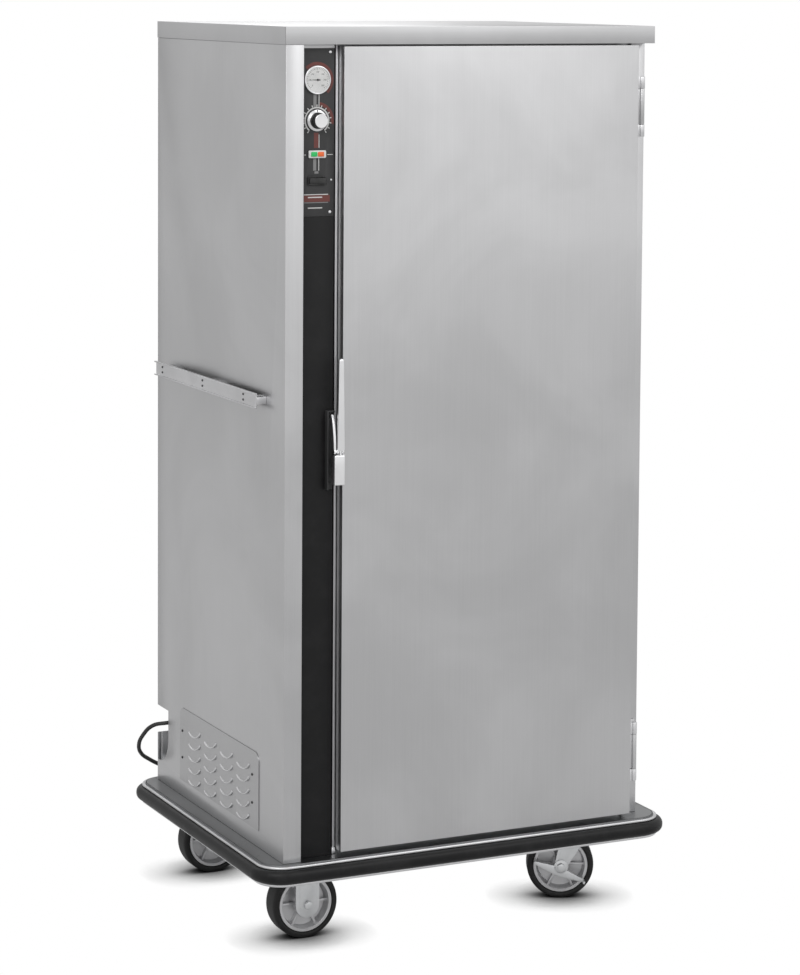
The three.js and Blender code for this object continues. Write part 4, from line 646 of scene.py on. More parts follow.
def aim(yaw, pitch, roll):
    """The camera's turn: yaw to the right of +Y, pitch down and roll, in degrees."""
    yaw, pitch, roll = (math.radians(angle) for angle in (yaw, pitch, roll))
    ahead = Vector((math.sin(yaw) * math.cos(pitch), math.cos(yaw) * math.cos(pitch), -math.sin(pitch)))
    right = ahead.cross(Vector((0, 0, 1))).normalized()
    up = right.cross(ahead)
    tilted = right * math.cos(roll) + up * math.sin(roll)
    top = up * math.cos(roll) - right * math.sin(roll)
    return Matrix((tilted, top, -ahead)).transposed().to_4x4()


class MakeStage(bpy.types.Operator):
    """Makes the floor, the lamps, the room's light and the camera"""

    bl_idname = "cabinet.make_stage"
    bl_label = "Stage"

    camera_place = (-2.9077, -6.0398, 2.0841)
    camera_turn = (25.73, 4.253, 0.371)
    aim_point = (0, 0, 0.9)
    mirrored_white = 0.42
    shadow_power = 3.0
    back_dimming = 0.34

    def execute(self, context):
        scene = context.scene
        values = looks("stage")
        camera = bpy.data.objects.new("camera", bpy.data.cameras.new("camera"))
        scene.collection.objects.link(camera)
        camera.data.sensor_fit = "VERTICAL"
        camera.data.sensor_height = 36
        camera.data.lens = 109.23
        camera.data.shift_y = -0.2949
        camera.data.clip_end = 200
        camera.matrix_world = Matrix.Translation(self.camera_place) @ aim(*self.camera_turn)
        scene.camera = camera
        scene.view_settings.view_transform = "Standard"

        bm = bmesh.new()
        bmesh.ops.create_grid(bm, x_segments=1, y_segments=1, size=40)
        mesh = bpy.data.meshes.new("floor")
        bm.to_mesh(mesh)
        bm.free()
        floor = bpy.data.objects.new("floor", mesh)
        scene.collection.objects.link(floor)
        mesh.materials.append(self.floor_material(values))
        self.lamp("key_lamp", (-3.2, -3.4, 4.6), 3.2, values.lamp)
        self.lamp("fill_lamp", (2.6, -4.3, 5.0), 3.2, values.lamp * 0.6)
        self.lamp("back_lamp", (0.5, 4.0, 4.4), 3.5, values.lamp * 0.5)
        self.room(scene, values)
        return {"FINISHED"}

    def lamp(self, name, place, size, energy):
        light = bpy.data.lights.new(name, "AREA")
        light.shape = "SQUARE"
        light.size = size
        light.energy = energy
        lamp = bpy.data.objects.new(name, light)
        lamp.matrix_world = Matrix.Translation(place) @ (
            Vector(place) - Vector(self.aim_point)
        ).to_track_quat("Z", "Y").to_matrix().to_4x4()
        bpy.context.scene.collection.objects.link(lamp)

    def floor_material(self, values):
        made, tree, shader, vector = start_material("Pale floor", 0.0)
        shader.inputs["Roughness"].default_value = 0.9
        effect = node_of(tree, "ShaderNodeGroup", node_tree=speckle_group())
        effect.inputs["Size"].default_value = 60.0
        link(tree, vector, effect.inputs["Vector"])
        colour = tuple(values.floor)
        near = tuple(channel * 0.99 for channel in colour)
        link(tree, blend_colours(tree, effect.outputs["Dust"], colour, near), shader.inputs["Base Color"])
        # To the camera the floor is white, with a painted shadow that darkens it where something stands close
        # over it. In reflections it is part white and part its own colour.
        painted_shadow_ao = node_of(tree, "ShaderNodeAmbientOcclusion", samples=16)
        painted_shadow_ao.inputs["Distance"].default_value = values.shadow
        depth = node_of(tree, "ShaderNodeMath", operation="POWER")
        depth.inputs[1].default_value = self.shadow_power
        link(tree, painted_shadow_ao.outputs["AO"], depth.inputs[0])
        glow = node_of(tree, "ShaderNodeEmission")
        glow.inputs["Color"].default_value = (1, 1, 1, 1)
        link(tree, depth.outputs[0], glow.inputs["Strength"])
        path = node_of(tree, "ShaderNodeLightPath")
        seen = node_of(tree, "ShaderNodeMath", operation="MAXIMUM")
        link(tree, path.outputs["Is Camera Ray"], seen.inputs[0])
        link(tree, path.outputs["Is Transmission Ray"], seen.inputs[1])
        mirrored = node_of(tree, "ShaderNodeMath", operation="MULTIPLY")
        mirrored.inputs[1].default_value = self.mirrored_white
        link(tree, path.outputs["Is Glossy Ray"], mirrored.inputs[0])
        share = node_of(tree, "ShaderNodeMath", operation="MAXIMUM")
        link(tree, seen.outputs[0], share.inputs[0])
        link(tree, mirrored.outputs[0], share.inputs[1])
        mix = node_of(tree, "ShaderNodeMixShader")
        link(tree, share.outputs[0], mix.inputs[0])
        link(tree, shader.outputs[0], mix.inputs[1])
        link(tree, glow.outputs[0], mix.inputs[2])
        out = next(item for item in tree.nodes if item.type == "OUTPUT_MATERIAL")
        link(tree, mix.outputs[0], out.inputs["Surface"])
        return made

    def room(self, scene, values):
        world = bpy.data.worlds.new("Room")
        world.use_nodes = True
        scene.world = world
        tree = world.node_tree
        plain = next(item for item in tree.nodes if item.type == "BACKGROUND")
        plain.inputs["Color"].default_value = (1, 1, 1, 1)
        plain.inputs["Strength"].default_value = values.room
        seen = node_of(tree, "ShaderNodeBackground")
        seen.inputs["Color"].default_value = (1, 1, 1, 1)
        path = node_of(tree, "ShaderNodeLightPath")
        # Metal mirrors a room that is white in front and dimmer at the back.
        place = node_of(tree, "ShaderNodeTexCoord")
        parts = node_of(tree, "ShaderNodeSeparateXYZ")
        link(tree, place.outputs["Generated"], parts.inputs[0])
        back = node_of(tree, "ShaderNodeMapRange", interpolation_type="SMOOTHSTEP")
        back.inputs["From Min"].default_value = -0.6
        back.inputs["From Max"].default_value = 0.9
        back.inputs["To Min"].default_value = 0.0
        back.inputs["To Max"].default_value = self.back_dimming
        link(tree, parts.outputs["Y"], back.inputs["Value"])
        dimmer = node_of(tree, "ShaderNodeMath", operation="MULTIPLY")
        link(tree, back.outputs["Result"], dimmer.inputs[0])
        link(tree, path.outputs["Is Glossy Ray"], dimmer.inputs[1])
        level = node_of(tree, "ShaderNodeMath", operation="SUBTRACT")
        level.inputs[0].default_value = 1.0
        link(tree, dimmer.outputs[0], level.inputs[1])
        link(tree, level.outputs[0], seen.inputs["Strength"])
        glossy = node_of(tree, "ShaderNodeMath", operation="MAXIMUM")
        either = node_of(tree, "ShaderNodeMath", operation="MAXIMUM")
        link(tree, path.outputs["Is Glossy Ray"], glossy.inputs[0])
        link(tree, path.outputs["Is Transmission Ray"], glossy.inputs[1])
        link(tree, glossy.outputs[0], either.inputs[0])
        link(tree, path.outputs["Is Camera Ray"], either.inputs[1])
        mix = node_of(tree, "ShaderNodeMixShader")
        link(tree, either.outputs[0], mix.inputs[0])
        link(tree, plain.outputs[0], mix.inputs[1])
        link(tree, seen.outputs[0], mix.inputs[2])
        out = next(item for item in tree.nodes if item.type == "OUTPUT_WORLD")
        link(tree, mix.outputs[0], out.inputs["Surface"])


# Cord


COIL = {"x": 500, "y": 926, "inner": 39, "pitch": 11.5, "turns": 3, "steps": 24, "level": 5.05, "tail": 64}
ROUTE = [
    (70, 705, 347), (40, 705.5, 347), (8.4, 709, 346.5), (-17, 728, 338.8), (-33, 752, 312),
    (-35, 774, 283.2),
    (-22.8, 790, 258), (1.9, 800.5, 238.5), (32, 807, 220.5), (68, 809, 201), (107, 807, 178),
    (143, 806, 150),
    (177, 806, 117), (209, 808, 80), (240, 812, 45), (272, 818, 20), (312, 828, 7.5), (356, 835.8, 5.05),
    (402, 845, 5.05), (446, 852.2, 5.05), (488, 852.5, 5.05),
]


def coil_points():
    """In towards the heart on the floor, up a layer in half a turn, and out again on top."""
    turn_steps = COIL["turns"] * COIL["steps"]
    climb_steps = COIL["steps"] // 2
    points = []
    for step in range(2 * turn_steps + climb_steps + 1):
        angle = -math.pi / 2 + 2 * math.pi * step / COIL["steps"]
        from_heart = max(turn_steps - step, step - turn_steps - climb_steps, 0)
        radius = COIL["inner"] + COIL["pitch"] * from_heart / COIL["steps"]
        climb = min(max((step - turn_steps) / climb_steps, 0), 1)
        points.append(
            (
                COIL["x"] + radius * math.cos(angle), COIL["y"] + radius * math.sin(angle),
                COIL["level"] + COIL["pitch"] * climb,
            ),
        )
    x, y, z = points[-1]
    points.append((x - COIL["tail"] / 2, y, z))
    points.append((x - COIL["tail"], y, z))
    return points


class MakeCord(bpy.types.Operator):
    """Makes the power cord with its coil, its strain relief and its plug"""

    bl_idname = "cabinet.make_cord"
    bl_label = "Power cord"

    def execute(self, context):
        values = looks("cord")
        low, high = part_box("strain_relief")
        start = Vector((low.x - 0.0003, (low.y + high.y) / 2, (low.z + high.z) / 2))
        route = [start] + [at(*point) for point in ROUTE + coil_points()]
        curve = bpy.data.curves.new("power_lead", "CURVE")
        curve.dimensions = "3D"
        curve.bevel_depth = values.diameter / 2
        curve.bevel_resolution = 4
        curve.resolution_u = 5
        curve.use_fill_caps = True
        line = curve.splines.new("BEZIER")
        line.bezier_points.add(len(route) - 1)
        for knot, point in zip(line.bezier_points, route):
            knot.co = point
            knot.handle_left_type = knot.handle_right_type = "AUTO"
        lead = bpy.data.objects.new("power_lead", curve)
        context.scene.collection.objects.link(lead)
        curve.materials.append(material("sheath"))
        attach(lead, "cabinet")
        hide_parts("power_cord", "cord_coil")
        plug = self.plug(route[-1])
        self.relief()
        return {"FINISHED"}

    def plug(self, end):
        bm = bmesh.new()
        place = facing(end, (-1, 0, 0))
        profile = [(0, 0.3), (5.6, 0.3), (6.4, 2), (6.6, 10), (7.4, 12), (7.0, 13.4), (8.2, 15), (7.8, 16.4),
                   (9.4, 18),
                   (13.0, 22), (14.0, 26), (14.0, 40), (13.2, 43.6), (11.6, 44.3), (0, 44.3)]
        turned(bm, [(radius * MM, height * MM) for radius, height in profile], place, 40)
        for side in (-1, 1):
            blade = slab(bm, way(side * 6.35 - 0.75, -3.1, 42), way(side * 6.35 + 0.75, 3.1, 62), 0.0003)
            bmesh.ops.transform(
                bm, matrix=Matrix.Translation(end) @ Matrix.Rotation(-math.pi / 2, 4, "Y"), verts=blade
            )
        earth = bar(bm, way(0, 8, 42), way(0, 8, 62), 0.0024, 20, soft=0.0005)
        bmesh.ops.transform(
            bm, matrix=Matrix.Translation(end) @ Matrix.Rotation(-math.pi / 2, 4, "Y"), verts=earth
        )
        return settle("mains_plug", bm, "plastic", "cabinet", ["plug"])

    def relief(self):
        bm = bmesh.new()
        profile = [(0, 0), (13, 0), (13, 3), (12.2, 4), (9.4, 4)]
        for rib in range(6):
            radius = 9.2 - 0.55 * rib
            start = 4.6 + 4.2 * rib
            profile += [
                (radius, start), (radius, start + 2.6), (radius - 1.3, start + 2.9),
                (radius - 1.3, start + 3.9),
            ]
        profile += [(5.6, 30), (0, 30)]
        low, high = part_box("strain_relief")
        foot = Vector((high.x, (low.y + high.y) / 2, (low.z + high.z) / 2))
        turned(bm, [(radius * MM, height * MM) for radius, height in profile], facing(foot, (-1, 0, 0)), 32)
        settle("cord_relief", bm, "plastic", "cabinet", ["strain_relief"])


# Platform


class MakePlatform(bpy.types.Operator):
    """Makes the platform, its bumper and the fastenings of the chassis"""

    bl_idname = "cabinet.make_platform"
    bl_label = "Platform and bumper"

    def execute(self, context):
        steps = looks("bumper").corner_steps
        low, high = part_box("base_platform")
        corner = 0.050
        bm = bmesh.new()
        outline = [
            (low.x, low.y, high.z), (high.x, low.y, high.z), (high.x, high.y, high.z), (low.x, high.y, high.z)
        ]
        plate(bm, outline, (0, 0, -0.003), [corner] * 4, steps)
        section = [(-0.002, low.z), (0, low.z), (0, high.z - 0.0005), (-0.0005, high.z), (-0.002, high.z)]
        round_frame(bm, low.xy, high.xy, corner, section, steps)
        settle("platform_deck", bm, "deck", "cabinet", ["base_platform"])

        foot, head = low.z, high.z - 0.0025
        lip = [
            (0.0065, 0), (0.0075, 0.0006), (0.0080, 0.0018), (0.0080, 0.0044), (0.0075, 0.0055),
            (0.0066, 0.006),
        ]
        section = [(0.0003, foot)] + [(out, foot + up) for out, up in lip] + [(0.0023, foot + 0.006)]
        section += [(0.0023, head - 0.006)] + [(out, head - up) for out, up in reversed(lip)]
        section += [(0.0009, head), (0.0003, head - 0.0006)]
        bm = bmesh.new()
        round_frame(bm, low.xy, high.xy, corner, section, steps)
        settle("bumper_rail", bm, "extruded", "cabinet", ["bumper_channel"], 60)

        bottom, top = foot + 0.0063, head - 0.0063
        bend = (top - bottom) * 0.45
        nose = []
        for step in range(9):
            angle = math.pi / 2 * step / 8
            nose.append((0.008 + 0.014 * math.sin(angle), bend * (1 - math.cos(angle))))
        section = [(0.0026, bottom)] + [(out, bottom + up) for out, up in nose]
        section += [(out, top - up) for out, up in reversed(nose)] + [(0.0026, top)]
        bm = bmesh.new()
        round_frame(bm, low.xy, high.xy, corner, section, steps)
        settle("bumper_band", bm, "vinyl", "cabinet", ["bumper_strip"], 50)

        softened("chassis_frame", "zinc", soft=0.0008)
        bm = bmesh.new()
        for node in (
            "rigid_caster_front_fork", "rigid_caster_rear_fork", "swivel_caster_front_plate",
            "swivel_caster_rear_plate",
        ):
            box_low, box_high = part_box(node)
            for x in (box_low.x + 0.012, box_high.x - 0.012):
                for y in (box_low.y + 0.012, box_high.y - 0.012):
                    bar(bm, (x, y, box_high.z - 0.005), (x, y, box_high.z - 0.0105), 0.0075, 6, soft=0.0006)
                    bar(bm, (x, y, box_high.z - 0.0049), (x, y, box_high.z - 0.0064), 0.0095, 20)
        settle("caster_bolts", bm, "zinc", "cabinet")
        return {"FINISHED"}


# Body


class MakeBody(bpy.types.Operator):
    """Makes the side panels, the back, the cap and the door frame"""

    bl_idname = "cabinet.make_body"
    bl_label = "Body sheets"

    def execute(self, context):
        softened("left_side_panel", "skin")
        softened("right_side_panel", "skin")
        softened("back_panel", "skin")
        softened("top_cap", "lid", soft=0.0009, steps=3)
        softened("front_frame", "inner", soft=0.0005)
        softened("cord_pocket", "inner", soft=0.0005)
        self.seams()
        self.back_screws()
        self.bead()
        return {"FINISHED"}

    def bead(self):
        """The folded edge of the door frame beside the door, with its clip at the foot."""
        low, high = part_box("front_frame")
        bm = bmesh.new()
        slab(bm, (at(127, 0, 0).x, at(0, 29, 0).y, low.z), (at(132.8, 0, 0).x, low.y, high.z), 0.0010)
        settle("frame_bead", bm, "skin")
        bm = bmesh.new()
        slab(
            bm, (at(124.4, 0, 0).x, at(0, 25, 0).y, low.z + 0.0005),
            (at(133, 0, 0).x, at(0, 38, 0).y, low.z + 0.014), 0.0015,
        )
        settle("frame_clip", bm, "plated")

    def seams(self):
        """The cap's corner seams, thin dark lines where its ends are folded in."""
        bm = bmesh.new()
        for x in (CAP_LOW.x, CAP_HIGH.x):
            out = -1 if x == CAP_LOW.x else 1
            slab(
                bm,
                (x + out * 0.00005 - 0.0001, CAP_LOW.y + 0.0012, CAP_LOW.z + 0.001),
                (x + out * 0.00005 + 0.0001, CAP_LOW.y + 0.0018, CAP_HIGH.z - 0.001),
            )
        settle("cap_seams", bm, "print_black")

    def back_screws(self):
        low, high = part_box("back_panel")
        bm = bmesh.new()
        for share in (0.04, 0.2, 0.36, 0.52, 0.68, 0.84, 0.97):
            for x in (low.x + 0.012, high.x - 0.012):
                if x < 0 and share < 0.1:
                    continue
                screw(bm, (x, high.y + 0.0002, low.z + (high.z - low.z) * share), (0, 1, 0), 0.0042)
        for share in (0.25, 0.5, 0.75):
            for z in (low.z + 0.02, high.z - 0.02):
                screw(bm, (low.x + (high.x - low.x) * share, high.y + 0.0002, z), (0, 1, 0), 0.0042)
        settle("back_screws", bm, "chrome")


class MakeDoor(bpy.types.Operator):
    """Makes the door's shell, its liner and its seal"""

    bl_idname = "cabinet.make_door"
    bl_label = "Door"

    def execute(self, context):
        softened("door_shell", "skin", "door", 0.0011, 3)
        softened("door_liner", "inner", "door", 0.0008)
        low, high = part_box("door_gasket")
        width, corner = 0.016, 0.030
        depth = high.y - low.y
        section = [
            (0, 0), (0, 0.35), (-0.12, 0.72), (-0.3, 0.94), (-0.5, 1), (-0.7, 0.94), (-0.88, 0.72),
            (-1, 0.35), (-1, 0),
        ]
        section = [(out * width, up * depth) for out, up in section]
        bm = bmesh.new()
        verts = round_frame(bm, (low.x, low.z), (high.x, high.z), corner, section, 8)
        stand = Matrix(((1, 0, 0, 0), (0, 0, 1, low.y), (0, 1, 0, 0), (0, 0, 0, 1)))
        bmesh.ops.transform(bm, matrix=stand, verts=verts)
        bmesh.ops.recalc_face_normals(bm, faces=bm.faces)
        settle("door_seal", bm, "seal", "door", ["door_gasket"])
        return {"FINISHED"}


class MakeHinges(bpy.types.Operator):
    """Makes the two lift-off hinges"""

    bl_idname = "cabinet.make_hinges"
    bl_label = "Hinges"

    axis_side = 865.5
    axis_depth = 13
    knuckle = 0.027

    def execute(self, context):
        for place in ("top", "bottom"):
            self.hinge(place)
        return {"FINISHED"}

    def hinge(self, place):
        axis = at(self.axis_side, self.axis_depth, 0)
        low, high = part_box("hinge_door_leaf_" + place)
        foot, head = low.z, high.z
        inner_foot, inner_head = foot + self.knuckle, head - self.knuckle

        def up(z):
            return Vector((axis.x, axis.y, z))

        bm = bmesh.new()
        bar(bm, up(inner_foot), up(inner_head), 0.006, 40, soft=0.0006)
        bar(bm, up(foot + 0.002), up(head - 0.0025), 0.003, 20)
        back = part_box("hinge_frame_leaf_" + place)
        slab(bm, (axis.x - 0.0025, axis.y, inner_foot), (axis.x + 0.0025, back[1].y, inner_head), 0.0008)
        slab(
            bm, (axis.x - 0.0120, axis.y - 0.001, foot + 0.0275), (axis.x, axis.y + 0.001, head - 0.0275),
            0.0008,
        )
        slab(bm, (back[0].x, back[1].y - 0.002, foot), (back[1].x, back[1].y, head), 0.0006)
        for share in (0.15, 0.5, 0.85):
            screw(
                bm, (back[1].x - 0.0062, back[1].y - 0.002, foot + (head - foot) * share), (0, -1, 0), 0.0034
            )
        settle("hinge_fixed_" + place, bm, "skin", "cabinet", ["hinge_frame_leaf_" + place])

        bm = bmesh.new()
        for start, end in ((foot, inner_foot - 0.0005), (inner_head + 0.0005, head)):
            bar(bm, up(start), up(end), 0.0065, 40, soft=0.0009)
            slab(bm, (low.x, axis.y - 0.0025, start), (axis.x, axis.y + 0.0025, end), 0.0006)
        slab(bm, (low.x, low.y, foot), (low.x + 0.002, high.y, head), 0.0006)
        for share in (0.18, 0.5, 0.82):
            screw(bm, (low.x + 0.002, high.y - 0.006, foot + (head - foot) * share), (1, 0, 0), 0.0032)
        # The moving leaves take the lighter steel: a painted highlight on the knuckles.
        settle("hinge_moving_" + place, bm, "rim", "door", ["hinge_door_leaf_" + place])


# Latch


class MakeLatch(bpy.types.Operator):
    """Makes the latch's block, its lever with the hook and its strike"""

    bl_idname = "cabinet.make_latch"
    bl_label = "Latch"

    def execute(self, context):
        pin = at(0, -6, 1086)
        right, left = 133.7, 109.7
        bm = bmesh.new()
        slab(bm, at(left, -14, 1014), at(right, 0, 1078), 0.0022, 4)
        slab(bm, at(right - 3, -7, 1015), at(right, 28, 1077), 0.0008)
        slab(bm, at(left + 3, -13.2, 1078.2), at(right - 1, -1.5, 1079.4), 0.0004)
        ear = right - 8.5
        slab(bm, at(ear - 2.5, -11, 1074), at(ear + 2.5, -1, 1091), 0.0016, 3)
        bar(bm, (at(left + 2.5, 0, 0).x, pin.y, pin.z), (at(right - 0.5, 0, 0).x, pin.y, pin.z), 0.002, 20)
        settle("latch_block", bm, "plated", "door", ["latch_body"])

        bm = bmesh.new()
        x0, x1 = right - 17, right
        outline = [at(x0, -6.6, 1088), at(x1, -6.6, 1088), at(x1 - 3, -6.6, 1284), at(x0 + 3, -6.6, 1284)]
        plate(bm, outline, way(0, -7.4, 0), [0, 0, 5.4 * MM, 5.4 * MM], 8)
        round_edges(bm, list(bm.verts), 0.0022, 3, 50)
        for start, end in ((left, left + 5), (x0, ear - 3.2), (ear + 3.2, right - 0.5)):
            bar(
                bm, (at(start, 0, 0).x, pin.y, pin.z), (at(end, 0, 0).x, pin.y, pin.z), 0.005, 32, soft=0.0008
            )
        bar(bm, (at(left, 0, 0).x, pin.y, pin.z), (at(ear - 3.2, 0, 0).x, pin.y, pin.z), 0.0038, 28)
        section = [
            at(left, -9.2, 1086), at(left, -2.8, 1086), at(left + 5, -2.8, 1086), at(left + 5, -9.2, 1086)
        ]
        run = Run(bm, section)
        run.bend(at(left, 222, 1086), (-1, 0, 0), math.radians(19.6), 10)
        run.close(True)
        settle("latch_handle_lever", bm, "plated", "latch_handle", ["latch_lever"])

        low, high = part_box("latch_strike")
        softened("latch_strike", "overlay", soft=0.0007)
        bm = bmesh.new()
        for z in (low.z + 0.014, high.z - 0.014):
            screw(bm, ((low.x + high.x) / 2 + 0.0012, low.y + 0.012, z), (0, -1, 0), 0.0036)
        settle("strike_screws", bm, "overlay")
        return {"FINISHED"}


# Controls


class MakeControls(bpy.types.Operator):
    """Makes the control panel, its print, dial, knob, lights and switch"""

    bl_idname = "cabinet.make_controls"
    bl_label = "Controls"

    # Millimetres from the body's left side, its front and the floor
    middle = 81.5
    face = 24.0
    dial_height = 1873.2
    knob_height = 1787.7
    needle_depth = 2.8

    def flat(self, bm, x, z, width, height, lift=0.0):
        """A printed bar on the panel, round its middle."""
        high = looks("control").print_height
        back = at(0, self.face, 0).y - lift
        low = at(x - width / 2, 0, z - height / 2)
        top = at(x + width / 2, 0, z + height / 2)
        return slab(bm, (low.x, back - high, low.z), (top.x, back + 0.00005, top.z))

    def arc(self, bm, x, z, radius, width, start, end, steps=18):
        """A printed band round a point, from one angle to another."""
        high = looks("control").print_height
        centre = at(x, self.face, z)
        turn = Matrix.Rotation(-math.radians(start), 3, "Y")
        corners = [
            (radius - width / 2, 0.00005), (radius + width / 2, 0.00005), (radius + width / 2, -high),
            (radius - width / 2, -high),
        ]
        section = [
            centre + turn @ Vector((out if abs(out) > 0.0001 else 0, deep, 0)) for out, deep in corners
        ]
        run = Run(bm, section)
        run.bend(centre, (0, -1, 0), math.radians(end - start), steps)
        return run.close(True)

    def execute(self, context):
        softened("control_panel", "overlay", soft=0.0004)
        softened("chase_trim", "black_sheet", soft=0.0004)
        self.print_work()
        self.dial()
        self.knob()
        self.lights()
        self.switch()
        bm = bmesh.new()
        for x, z in ((112, 1932), (115, 1662), (112.5, 1594)):
            screw(bm, at(x, self.face, z), (0, -1, 0), 0.0034 if x < 114 else 0.0022)
        settle("panel_screws", bm, "plated")
        low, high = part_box("control_panel")
        bm = bmesh.new()
        slab(bm, (low.x, low.y - 0.0004, high.z - 0.0076), (high.x, low.y + 0.0001, high.z), 0.0001)
        settle("panel_head", bm, "skin")
        return {"FINISHED"}

    def print_work(self):
        white, grey, accent = bmesh.new(), bmesh.new(), bmesh.new()
        for low, high in ((1815, 1843), (1682, 1709)):
            self.flat(grey, 76.8, (low + high) / 2, 7, high - low)
            self.flat(white, 86.2, (low + high) / 2, 1.6, high - low)
        self.flat(grey, 81, 1678, 9, 5)
        self.flat(accent, 80, 1746, 10.6, 32)
        self.flat(white, 86.6, 1744, 1.5, 28)
        for x, width in ((54.6, 4), (112.2, 12.6)):
            self.flat(white, x, 1715.4, width, 1.3)
        self.flat(white, 80, 1631.2, 56, 1.8)
        self.flat(accent, 82, 1622.7, 60, 14)
        self.flat(grey, 80, 1614.2, 56, 1.6)
        self.flat(white, 78, 1625.4, 33, 2.4, 0.0002)
        self.flat(white, 78, 1602.9, 33, 2.2)
        self.arc(accent, self.middle, self.dial_height, 0.0345, 0.0070, -48, 135, 24)
        self.arc(accent, self.middle, self.knob_height, 0.0355, 0.0075, -12, 80)
        self.arc(white, self.middle, self.knob_height, 0.0272, 0.0030, -50, 230, 48)
        ticks = looks("control").ticks
        centre = at(self.middle, self.face, self.knob_height)
        for tick in range(ticks):
            angle = -50 + 280 * tick / (ticks - 1)
            mark = self.flat(white, self.middle, self.knob_height + 31.6, 2.0, 4.4, 0.0002)
            bmesh.ops.rotate(
                white, cent=centre, matrix=Matrix.Rotation(math.radians(90 - angle), 3, "Y"), verts=mark
            )
        settle("white_print", white, "print_white")
        settle("grey_print", grey, "print_grey")
        settle("accent_print", accent, "print_accent")

    def dial(self):
        centre = at(self.middle, self.face - 0.3, self.dial_height)
        place = facing(centre)
        profile = [(0, -12), (25, -12), (25, 0), (30.2, 0), (30.2, 3.4), (29.9, 4.3), (29.2, 4.85),
                   (28.4, 5.0), (27.7, 4.7),
                   (27.3, 4.1), (27.2, 1.2), (0, 1.2)]
        bm = bmesh.new()
        turned(bm, [(radius * MM, height * MM) for radius, height in profile], place, 72)
        settle("dial_bezel", bm, "plated", "cabinet", ["thermometer_case"], 30)
        bm = bmesh.new()
        bar(bm, centre + way(0, -1.5, 0), centre + way(0, -2.5, 0), 0.0269, 64)
        settle("dial_face", bm, "dial", "cabinet", ["thermometer_dial"])
        self.dial_marks(centre + way(0, -2.5, 0))
        bm = bmesh.new()
        cover = [(0, 4.3), (27.1, 4.2), (27.1, 4.5), (0, 4.9)]
        turned(bm, [(radius * MM, height * MM) for radius, height in cover], place, 48)
        settle("dial_cover", bm, "cover", "cabinet")

        bm = bmesh.new()
        back = at(0, self.face - 0.3 - self.needle_depth, 0).y
        tip, tail = centre.x - 0.0205, centre.x + 0.006
        outline = [(tip, back, centre.z), (centre.x, back, centre.z - 0.0009),
                   (tail, back, centre.z - 0.0015),
                   (tail, back, centre.z + 0.0015), (centre.x, back, centre.z + 0.0009)]
        plate(bm, outline, (0, -0.0006, 0))
        bar(bm, (centre.x, back, centre.z), (centre.x, back - 0.0012, centre.z), 0.0025, 24, soft=0.0003)
        settle("dial_pointer", bm, "print_black", "dial_needle", ["thermometer_needle"])

    def dial_marks(self, centre):
        bm = bmesh.new()
        for tick in range(31):
            angle = math.radians(-135 + 9 * tick)
            long = tick % 5 == 0
            mark = slab(bm, (-0.0003, -0.00015, 0.0208 if long else 0.0224), (0.0003, 0.00005, 0.0248))
            turn = Matrix.Translation(centre) @ Matrix.Rotation(angle, 4, "Y")
            bmesh.ops.transform(bm, matrix=turn, verts=mark)
        settle("dial_ticks", bm, "print_black")
        for place, value in enumerate(("0", "50", "100", "150", "200", "250", "300")):
            angle = math.radians(-135 + 45 * place)
            text = bpy.data.curves.new("dial_number_" + value, "FONT")
            text.body = value
            text.size = 0.0046
            text.align_x, text.align_y = "CENTER", "CENTER"
            text.extrude = 0.00008
            text.resolution_u = 2
            source = bpy.data.objects.new("number_source", text)
            mesh = bpy.data.meshes.new_from_object(source)
            bpy.data.objects.remove(source)
            number = bmesh.new()
            number.from_mesh(mesh)
            bpy.data.meshes.remove(mesh)
            bmesh.ops.remove_doubles(number, verts=number.verts, dist=1e-6)
            reach = Vector((math.sin(angle), 0, math.cos(angle))) * 0.0168
            turn = Matrix.Translation(centre + reach) @ Matrix.Rotation(math.pi / 2, 4, "X")
            bmesh.ops.transform(number, matrix=turn, verts=number.verts)
            settle("dial_number_" + value, number, "print_black")

    def knob(self):
        centre = at(self.middle, self.face, self.knob_height)
        place = facing(centre)
        bm = bmesh.new()
        skirt = [
            (0, -12), (3, -12), (3, 0.5), (23, 0.5), (23, 1.6), (22.6, 2.3), (18.4, 4.2), (16.8, 5.2),
            (0, 5.2),
        ]
        turned(bm, [(radius * MM, height * MM) for radius, height in skirt], place, 64)
        settle("knob_skirt", bm, "knob", "thermostat_control", ["thermostat_knob"], 32)
        bm = bmesh.new()
        grip = [(17.6, 4.6), (17.6, 6.4), (16.4, 7.2), (15.6, 8.0), (15.5, 23.4), (15.0, 24.2), (0, 24.2)]
        verts = turned(
            bm, [(0, 4.6 * MM)] + [(radius * MM, height * MM) for radius, height in grip], place, 90
        )
        axis = at(self.middle, 0, self.knob_height)
        for vert in verts:
            out = Vector((vert.co.x - axis.x, 0, vert.co.z - axis.z))
            deep = centre.y - vert.co.y
            if out.length > 0.0138 and 0.0076 < deep < 0.0240:
                angle = math.atan2(out.z, out.x)
                vert.co -= out.normalized() * 0.0006 * (0.5 + 0.5 * math.cos(angle * 30))
        settle("knob_grip", bm, "plastic", "thermostat_control", (), 32)
        bm = bmesh.new()
        cap = [(0, 24.0), (14.7, 24.0), (14.7, 24.6), (14.2, 25.0), (0, 24.8)]
        turned(bm, [(radius * MM, height * MM) for radius, height in cap], place, 64)
        settle("knob_cap", bm, "plated", "thermostat_control", (), 32)
        bm = bmesh.new()
        slab(
            bm, (centre.x - 0.0008, centre.y - 0.0046, centre.z + 0.0182),
            (centre.x + 0.0008, centre.y - 0.0022, centre.z + 0.0222),
        )
        settle("knob_pointer", bm, "print_black", "thermostat_control")

